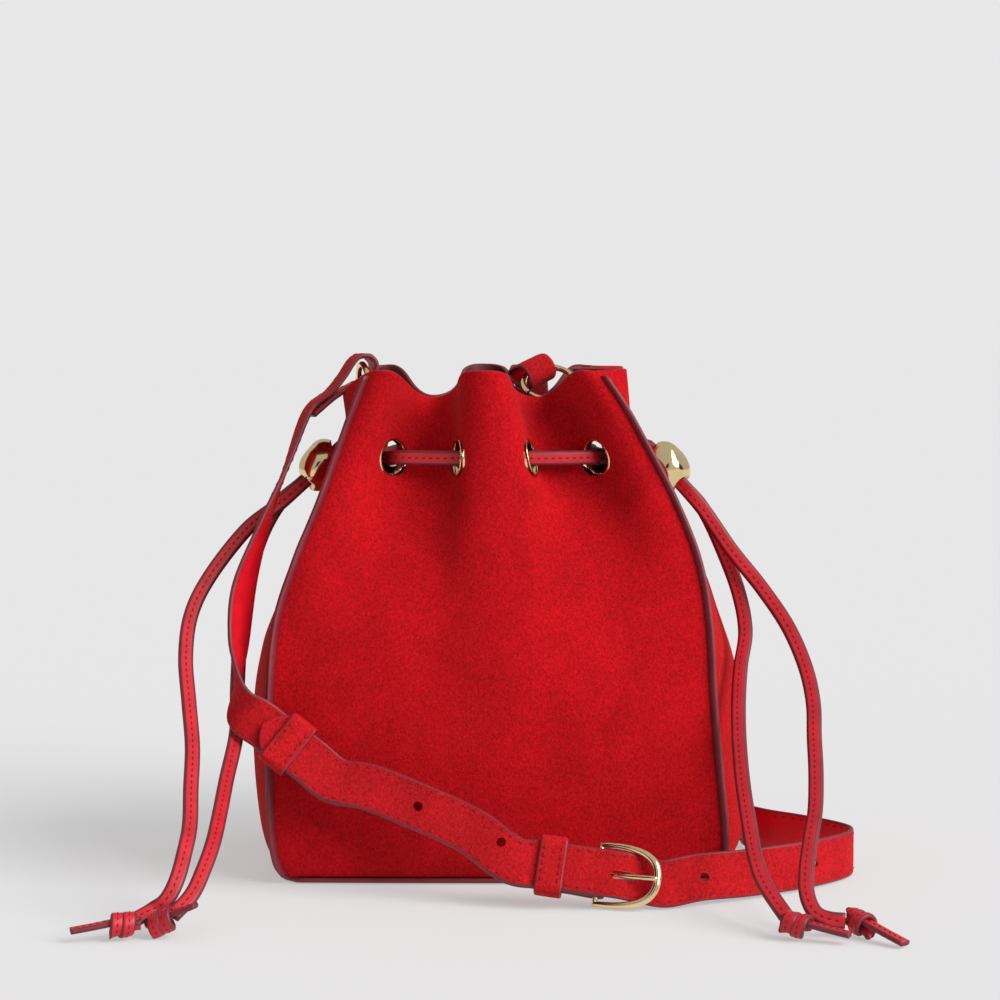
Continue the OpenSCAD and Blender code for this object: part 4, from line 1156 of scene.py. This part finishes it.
def keeper_band(name, m, length, low, high, body):
    """A sewn band round the strap: X along the strap, Y out, Z up."""
    inside_h, band = STRAP_W + 1.4, 1.5
    n0, n1, h = low - band / 2, high + band / 2, inside_h / 2 + band / 2
    loop = band_loop(n0, n1, h, 1.9)
    section, kinds = strap_section(length, band, 0.1)
    rings = []
    count = len(loop)
    for i in range(count):
        (ya, za), (yb, zb) = loop[i - 1], loop[(i + 1) % count]
        t = Vector((0, yb - ya, zb - za)).normalized()
        out = Vector((0, t.z, -t.y))
        p = Vector((0, *loop[i]))
        rings.append([m @ (p + Vector((1, 0, 0)) * a + out * b) for a, b in section])
    verts, faces = rings_mesh(rings, closed=True)
    obj = add_mesh("sewn_" + name, verts, faces, [STRAP_SUEDE, PAINT, BACK_RED], kinds * count)
    recalc(obj)
    place(obj, body, "strap_suede", name)
    lines = []
    for x in (-length / 2 + SEAM_IN, length / 2 - SEAM_IN):
        pts = [m @ Vector((x, n1 + band / 2 + 0.14, z)) for z in steps(20, -h + 1.5, h - 1.5)]
        out = m.to_3x3() @ Vector((0, 1, 0))
        lines.append(([tuple(p) for p in pts], [tuple(out)] * len(pts)))
    stitches("stitches_" + name, lines, THREAD, 2.0, 3.4, 0.36, body=body)


def even_loop(points, gap):
    """Points at equal gaps round a closed outline."""
    p = np.array(points + [points[0]], float)
    d = np.concatenate([[0], np.cumsum(np.linalg.norm(np.diff(p, axis=0), axis=1))])
    n = int(round(d[-1] / gap))
    at = np.arange(n) * d[-1] / n
    return [(float(np.interp(a, d, p[:, 0])), float(np.interp(a, d, p[:, 1]))) for a in at]


def band_axes(p, x, y, z):
    m = Matrix((x, y, z)).transposed().to_4x4()
    m.translation = p
    return m


def keepers():
    by_buckle = band_axes(buckle_pt(-30, 0), BUCKLE_DIR, BUCKLE_OUT, BUCKLE_UP)
    up_strap = band_axes(KEEPER, KEEPER_DIR, KEEPER_OUT, KEEPER_UP)
    keeper_band("fixed_keeper", by_buckle, 11, -6.6, 2.8, BAG)
    keeper_band("sliding_keeper", up_strap, 12, -3.6, 3, "keeper_body")


# ---------------------------------------------------------------- buckle

BOW_REACH = 23.4
BOW_RISE = 7.2
BOW_END_R = 1.1
BOW_SWELL = 0.7
PRONG_RISE = 24.5


def d_at(a):
    """A point on the buckle's bow, from one end of the bar round to the other."""
    s, c = sin(a), cos(a)
    half = BUCKLE_HALF_H * math.copysign(abs(c) ** 0.8, c) * (1 + 0.06 * s)
    return Vector((BAR_X + BOW_REACH * s ** 0.75, half, BAR_N + BOW_RISE * s ** 0.5))


def buckle():
    """The bow, swelling to its middle, and the straight bar with rounded ends."""
    m = buckle_frame_axes()
    angles = [0.0, 0.4, 1.2, 2.5, 4.5] + steps(68, 7, 173) + [175.5, 177.5, 178.8, 179.6, 180.0]
    bow = [m @ d_at(a) for a in angles[:-1]] + [m @ Vector((BAR_X, -BUCKLE_HALF_H, BAR_N))]
    radii = [BOW_END_R + BOW_SWELL * sin(a) for a in angles]
    P, (R,) = even(np.array([tuple(p) for p in bow]), [radii], 0.7)
    arch = tube("bow", P, R[:, 0], GOLD)
    ends = [(-12.9, 0.6), (-12.8, 0.95), (-12.5, 1.1), (12.5, 1.1), (12.8, 0.95), (12.9, 0.6)]
    bar = tube("bar", [m @ Vector((BAR_X, h, BAR_N)) for h, r in ends], [r for h, r in ends], GOLD)
    whole = joined("polished_buckle_frame", [arch, bar])
    place(whole, BAG, "polished_gold", "buckle_frame")


def prong():
    """The prong: its end curls round the bar and its tip lies on the bow."""
    m = buckle_frame_axes()
    c = Vector((BAR_X, 0, BAR_N))
    d = Vector((cos(PRONG_RISE), 0, sin(PRONG_RISE)))
    up = Vector((-sin(PRONG_RISE), 0, cos(PRONG_RISE)))
    eye = BAR_R + 0.05
    ring = [(eye, -1.3), (eye, 1.3), (eye + 0.25, 1.38), (eye + 0.8, 1.3), (eye + 1.05, 1.0),
            (eye + 1.05, -1.0), (eye + 0.8, -1.3), (eye + 0.25, -1.38)]
    curl = lathe("curl", ring, m @ axes(c, (0, 1, 0), d), GOLD, 40, closed=True)
    at = [1.3, 2.2, 4, 8, 14, 19, 22.5, 24, 25, 25.5, 25.75]
    size = [1.0, 1.2, PRONG_R, PRONG_R, PRONG_R, PRONG_R, 1.12, 1.06, 0.9, 0.6, 0.2]
    rod = tube("rod", [m @ (c + x * d + 0.1 * math.sin(x / 8) * up) for x in at], size, GOLD)
    whole = joined("polished_prong", [curl, rod])
    place(whole, "prong_body", "polished_gold", "buckle_prong")


panels()
welts()
base_parts()
lining()
seam_stitches()
eyelets()
for side in (-1, 1):
    bead(side)
ring_parts()
tabs()
drawcords()
buckle_strap()
billet_strap()
keepers()
buckle()
prong()

# ---------------------------------------------------------------- floor and light

def stage_paint(name, colour, glow):
    """Matt paint for the floor, or a plain glow for the backdrop."""
    m, nodes, links, shader = new_material(name)
    shader.inputs["Base Color"].default_value = (colour, colour, colour, 1)
    shader.inputs["Roughness"].default_value = 1
    shader.inputs["Specular IOR Level"].default_value = 0
    shader.inputs["Emission Color"].default_value = (glow, glow, glow, 1)
    shader.inputs["Emission Strength"].default_value = 1 if glow else 0
    return m


# The stage, in metres. A card is a dark upright plane: its two ends seen from above, then bottom and top
FLOOR_HALF = 9
FLOOR_GREY = 0.36
FLOOR_GLOW = 0.392
DOME_R = 8.5
DOME_GLOW = 0.8
CARDS = [(-1.6, -0.2, -0.9, -1.3, 0.1, 1.5), (1.5, 0.1, 1.35, -0.5, 0.05, 0.8),
         (-0.35, -2.2, 0.25, -2.2, 0.5, 1.6)]
KEY_FROM = Vector((0.7, -0.44, 0.52))
KEY_STRENGTH = 3.7
KEY_ANGLE = 45
SKY_GREY = 0.5


def hide_from(obj, *kinds):
    for kind in kinds:
        setattr(obj, "visible_" + kind, False)


def quad(name, corners, paint):
    return add_mesh(name, corners, [(0, 1, 2, 3)], [paint], scale=1)


def backdrop():
    """A pale floor, a pale dome that only the camera sees, and dark cards that only the gold reflects."""
    f = FLOOR_HALF
    floor = quad("floor", [(-f, -f, 0), (f, -f, 0), (f, f, 0), (-f, f, 0)],
                 stage_paint("floor_paint", FLOOR_GREY, FLOOR_GLOW))
    rings = []
    for e in steps(12, -30, 90):
        r = DOME_R * cos(e)
        rings.append([Vector((r * cos(a), r * sin(a), DOME_R * sin(e))) for a in range(0, 360, 10)])
    verts, faces = rings_mesh(rings)
    dome = add_mesh("dome", verts, faces, [stage_paint("backdrop_paint", 0, DOME_GLOW)], scale=1)
    hide_from(dome, "diffuse", "glossy", "transmission", "shadow", "volume_scatter")
    for i, (x0, y0, x1, y1, z0, z1) in enumerate(CARDS):
        card = quad("dark_card_%d" % i, [(x0, y0, z0), (x1, y1, z0), (x1, y1, z1), (x0, y0, z1)],
                    stage_paint("card_paint_%d" % i, 0.02, 0))
        hide_from(card, "camera", "diffuse", "transmission", "shadow", "volume_scatter")


def studio():
    """Soft light: an even pale sky and one broad lamp from the right."""
    world = bpy.data.worlds.new("world")
    world.use_nodes = True
    world.node_tree.nodes["Background"].inputs["Color"].default_value = (SKY_GREY, SKY_GREY, SKY_GREY, 1)
    bpy.context.scene.world = world
    key = bpy.data.lights.new("key", "SUN")
    key.energy = KEY_STRENGTH
    key.angle = math.radians(KEY_ANGLE)
    lamp = bpy.data.objects.new("key", key)
    lamp.rotation_euler = KEY_FROM.to_track_quat("Z", "Y").to_euler()
    bpy.context.collection.objects.link(lamp)
    bpy.context.scene.view_settings.view_transform = "Standard"


backdrop()
studio()
